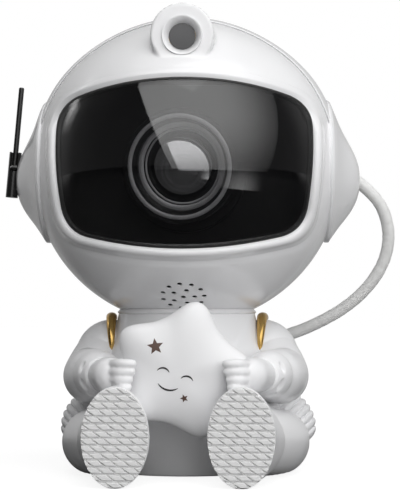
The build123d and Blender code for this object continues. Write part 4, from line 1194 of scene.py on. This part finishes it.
limb = {
    "stations": [(20, 8, 13.0, 9.5), (32.0, 1.0, 11.6, 11.6), (34.8, -8.0, 11.4, 12.3),
                 (33.0, -22.0, 12.2, 12.6), (28.6, -37.0, 13.6, 12.6), (25.4, -47.0, 14.4, 12.2),
                 (24.5, -51.0, 14.6, 12.3)],
    "steps": 10, "around": 72, "floor": 0.8,
    "ankle": (24.6, -49.0, 14.6), "ankleHalf": (12.6, 12.9),
    # rings from the ankle to the sole, how the boot swells between, and how its first and last rings do
    "bootRings": (0.0, 0.06, 0.2, 0.35, 0.55, 0.75, 0.9, 0.955, 0.965, 1.0), "bootSwell": 0.03,
    "bootEnds": (0.9, 1.0, 1.015, 1.015), "bootFloor": 0.15,
    "soleX": 21.8, "soleZ": 17.4, "soleWidth": 23.2, "soleHeight": 34.7,
    "soleFront": -76.0, "soleThick": 4.0,
}


def leg():
    rings = tubeRings(limb["stations"], limb["steps"], limb["around"])
    rings[..., 2] = np.maximum(rings[..., 2], limb["floor"])
    return ringLoft(rings)


def boot():
    # rings that swell from the round ankle to the oval sole
    b = limb
    turns = fullTurn(80)
    x, y, z = b["ankle"]
    halfX, halfZ = b["ankleHalf"]
    back = b["soleFront"] + b["soleThick"]
    swells = [1 + b["bootSwell"] * sin(pi * share) for share in b["bootRings"]]
    swells[0], swells[-3:] = b["bootEnds"][0], b["bootEnds"][1:]
    rings = []
    for share, swell in zip(b["bootRings"], swells):
        blend = eased(share)
        reachX = swell * (halfX + (b["soleWidth"] / 2 - halfX) * blend)
        reachZ = swell * (halfZ + (b["soleHeight"] / 2 - halfZ) * blend)
        centreX, centreZ = x + (b["soleX"] - x) * blend, z + (b["soleZ"] - z) * blend
        rings.append([(centreX + reachX * cos(t), y + (back - y) * share,
                       max(b["bootFloor"], centreZ + reachZ * sin(t))) for t in turns])
    return ringLoft(rings)


tread = {
    "row": 2.48, "block": 4.3, "slant": 34.0,     # pitch of rows and blocks, and the slant between blocks
    "gap": 0.17, "slope": 0.40, "rise": 0.95,     # half the groove's width, its side and its depth
    "sides": 120,
}


def treadLines(pitch, reach):
    # grid lines across one direction of the tread: each block has a floor, a slope, a top and a slope
    t = tread
    count = int(reach / pitch) + 2
    lines = []
    for i in range(-count, count + 1):
        start = i * pitch
        lines += [(start + t["gap"], 0), (start + t["gap"] + t["slope"], 1),
                  (start + pitch - t["gap"] - t["slope"], 1), (start + pitch - t["gap"], 0)]
    return lines


def sole():
    # slab with rows of raised slanted blocks, cut to the oval of the sole
    s, t = limb, tread
    slant = 1 / tan(radians(t["slant"]))
    halfX, halfZ = s["soleWidth"] / 2, s["soleHeight"] / 2
    rows = treadLines(t["row"], halfZ)
    columns = treadLines(t["block"], halfX + halfZ * slant)
    bm = bmesh.new()
    bmesh.ops.create_grid(bm, x_segments=len(columns) - 1, y_segments=len(rows) - 1, size=1)
    bm.verts.ensure_lookup_table()
    for v in bm.verts:
        i = round((v.co.x + 1) / 2 * (len(columns) - 1))
        j = round((v.co.y + 1) / 2 * (len(rows) - 1))
        z = rows[j][0]
        v.co = Vector((columns[i][0] - z * slant, -t["rise"] * min(columns[i][1], rows[j][1]), z))
    for i in range(t["sides"]):
        turn = 2 * pi * (i + 0.5) / t["sides"]
        out = Vector((cos(turn) / halfX, 0, sin(turn) / halfZ)).normalized()
        place = Vector((halfX * cos(turn), 0, halfZ * sin(turn)))
        bmesh.ops.bisect_plane(bm, geom=bm.verts[:] + bm.edges[:] + bm.faces[:], dist=0.0001, plane_co=place,
                               plane_no=out, clear_outer=True)
    rim = [e for e in bm.edges if e.is_boundary]
    made = bmesh.ops.extrude_edge_only(bm, edges=rim)
    back = [g for g in made["geom"] if isinstance(g, bmesh.types.BMVert)]
    for v in back:
        v.co.y = s["soleThick"] - t["rise"]
    bmesh.ops.contextual_create(bm, geom=back + [e for e in bm.edges if e.is_boundary])
    faceOut(bm)
    bmesh.ops.translate(bm, verts=bm.verts, vec=(s["soleX"], s["soleFront"] + t["rise"], s["soleZ"]))
    return bm


hip = {
    "centre": (38.8, 11.5, 18.6), "slope": 52.0, "halfLength": 11.6, "radius": 10.6,
    "ribs": 8, "rib": 1.0, "domed": 1.6, "cap": 0.6,
}


def bellows():
    # ribbed barrel, turned about its own axis and then tipped
    h = hip
    pitch = 2 * h["halfLength"] / h["ribs"]
    profile = [(0, -h["halfLength"] - h["cap"])]
    for step in np.linspace(-h["halfLength"], h["halfLength"], h["ribs"] * 12 + 1):
        swell = sqrt(max(0.02, 1 - (step / (h["halfLength"] + h["domed"])) ** 2))
        wave = abs(sin(pi * (step + h["halfLength"]) / pitch)) ** 0.6
        profile.append((h["radius"] * swell - h["rib"] * (1 - wave), step))
    profile.append((0, h["halfLength"] + h["cap"]))
    bm = spunPiece(profile, steps=72)
    turn = Matrix.Rotation(radians(90 + h["slope"]), 4, "Y")
    return moved(bm, Matrix.Translation(h["centre"]) @ turn)


trim = {
    "x": 29.6, "lean": 1.6, "ring": 12.0, "radius": 2.15, "flat": 0.8, "taper": 0.8,
    "start": -14, "sweep": 132, "centreY": 1.0, "centreZ": 47.0,
}


def goldTrim():
    # crescent of piping that runs over the shoulder and tapers down the chest
    t = trim
    rings = []
    for share in np.linspace(0, 1, 48):
        turn = radians(t["start"] + t["sweep"] * share)
        thick = t["radius"] * max(0.05, cos(pi / 2 * share)) ** t["taper"]
        out = Vector((0, -sin(turn), cos(turn)))
        across = Vector((1, 0, 0))
        centre = Vector((t["x"] - t["lean"] * share, t["centreY"], t["centreZ"])) + t["ring"] * out
        rings.append([centre + out * thick * t["flat"] * sin(a) + across * thick * cos(a)
                      for a in fullTurn(24)])
    return ringLoft(rings)


def makeLegs():
    makers = (("leg", leg, "white_suit", "leg_"), ("boot", boot, "white_suit", "boot_"),
              ("sole", sole, "white_sole", "sole_"), ("bellows", bellows, "white_suit", "hip_bellows_"),
              ("trim", goldTrim, "gilt", "shoulder_trim_"))
    for name, maker, slot, node in makers:
        for word in ("Right", "Left"):
            bm = maker()
            if word == "Left" and name == "sole":    # both soles slant the same way
                bmesh.ops.translate(bm, verts=bm.verts, vec=(-2 * limb["soleX"], 0, 0))
            elif word == "Left":
                flipToLeft(bm)
            sharp = 30 if name == "sole" else 50
            newPiece(name + word, bm, "body", slot, [node + word.lower()], sharp=sharp)
    print("stage: legs")


makeLegs()


hose = {
    "radius": 2.4,
    "route": [(68.6, 12.4, 111.4), (74.2, 13.6, 106.8), (78.3, 15.6, 100.0), (80.2, 18.0, 90.5),
              (78.2, 20.4, 80.6), (72.4, 23.0, 71.2), (63.6, 25.4, 63.0), (52.6, 27.6, 56.6),
              (40.6, 29.8, 51.6), (29.5, 31.5, 48.4)],
    "around": 28,
    "crease": 0.12,   # depth of the creases
    "creaseSteps": 5, # how many rings a crease is long
    "seed": 7,
    "split": 0.40,    # share of the length where the two pieces meet
    "rootBend": 3.4,  # from the hose's start back to where its root bends into the ear cap
    "rootEnd": (61.5, 11.4, 114.4),
}


def hoseLine():
    # points along the route's smooth line, in millimetres
    curve = bpy.data.curves.new("hoseLine", "CURVE")
    curve.dimensions = "3D"
    curve.resolution_u = 24
    spline = curve.splines.new("NURBS")
    spline.points.add(len(hose["route"]) - 1)
    for point, place in zip(spline.points, hose["route"]):
        point.co = (*place, 1)
    spline.order_u = 3
    spline.use_endpoint_u = True
    holder = bpy.data.objects.new("hoseLine", curve)
    scene.collection.objects.link(holder)
    graph = bpy.context.evaluated_depsgraph_get()
    mesh = bpy.data.meshes.new_from_object(holder.evaluated_get(graph), depsgraph=graph)
    line = [v.co.copy() for v in mesh.vertices]
    bpy.data.objects.remove(holder)
    bpy.data.meshes.remove(mesh)
    return line


def lengthOf(line):
    return sum((b - a).length for a, b in zip(line, line[1:]))


def hoseRings(line):
    # rings along the line, with soft creases across it
    rings = tubeRings([(*p, hose["radius"]) for p in line], 1, hose["around"])
    count, around = rings.shape[:2]
    centres = rings.mean(axis=1, keepdims=True)
    rng = np.random.default_rng(hose["seed"])
    wobble = rng.normal(size=(count, 1)) + 1.6 * rng.normal(size=(count, around))    # along it and round it
    wobble = (wobble + np.roll(wobble, 1, axis=1) + np.roll(wobble, -1, axis=1)) / 3
    window = np.hanning(hose["creaseSteps"] + 2)[1:-1]
    wobble = np.apply_along_axis(lambda row: np.convolve(row, window / window.sum(), "same"), 0, wobble)
    wobble /= np.abs(wobble).max()
    return centres + (rings - centres) * (1 + hose["crease"] / hose["radius"] * wobble[..., None])


def hoseTube(name, rings, replaces=()):
    # one piece of the tube along its bent route from the head to the body, on no body, with its place baked into
    # its mesh
    bm = ringLoft(rings)
    piece = newPiece(name, bm, None, "hose", replaces, sharp=60)
    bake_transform(piece)


def makeHoseRoot(line):
    # the first few millimetres, which sit in the ear cap
    start, end = np.array(line[0]), np.array(hose["rootEnd"])
    bend = start - hose["rootBend"] * np.array((line[1] - line[0]).normalized())
    stations = [(*((1 - t) ** 2 * start + 2 * t * (1 - t) * bend + t * t * end), hose["radius"])
                for t in np.linspace(0, 1, 14)]
    rings = tubeRings(stations, 1, hose["around"])
    newPiece("hoseRoot", ringLoft(rings), "head", "hose", sharp=60)


def makeHose():
    line = hoseLine()
    makeHoseRoot(line)
    rings = hoseRings(line)
    cut = int(len(line) * hose["split"])
    hoseTube("hoseUpper", rings[:cut + 1])
    hoseTube("hoseLower", rings[cut:], ["air_hose"])
    print("stage: hose, length", round(lengthOf(line), 1), "mm")


makeHose()


print("stage: done")
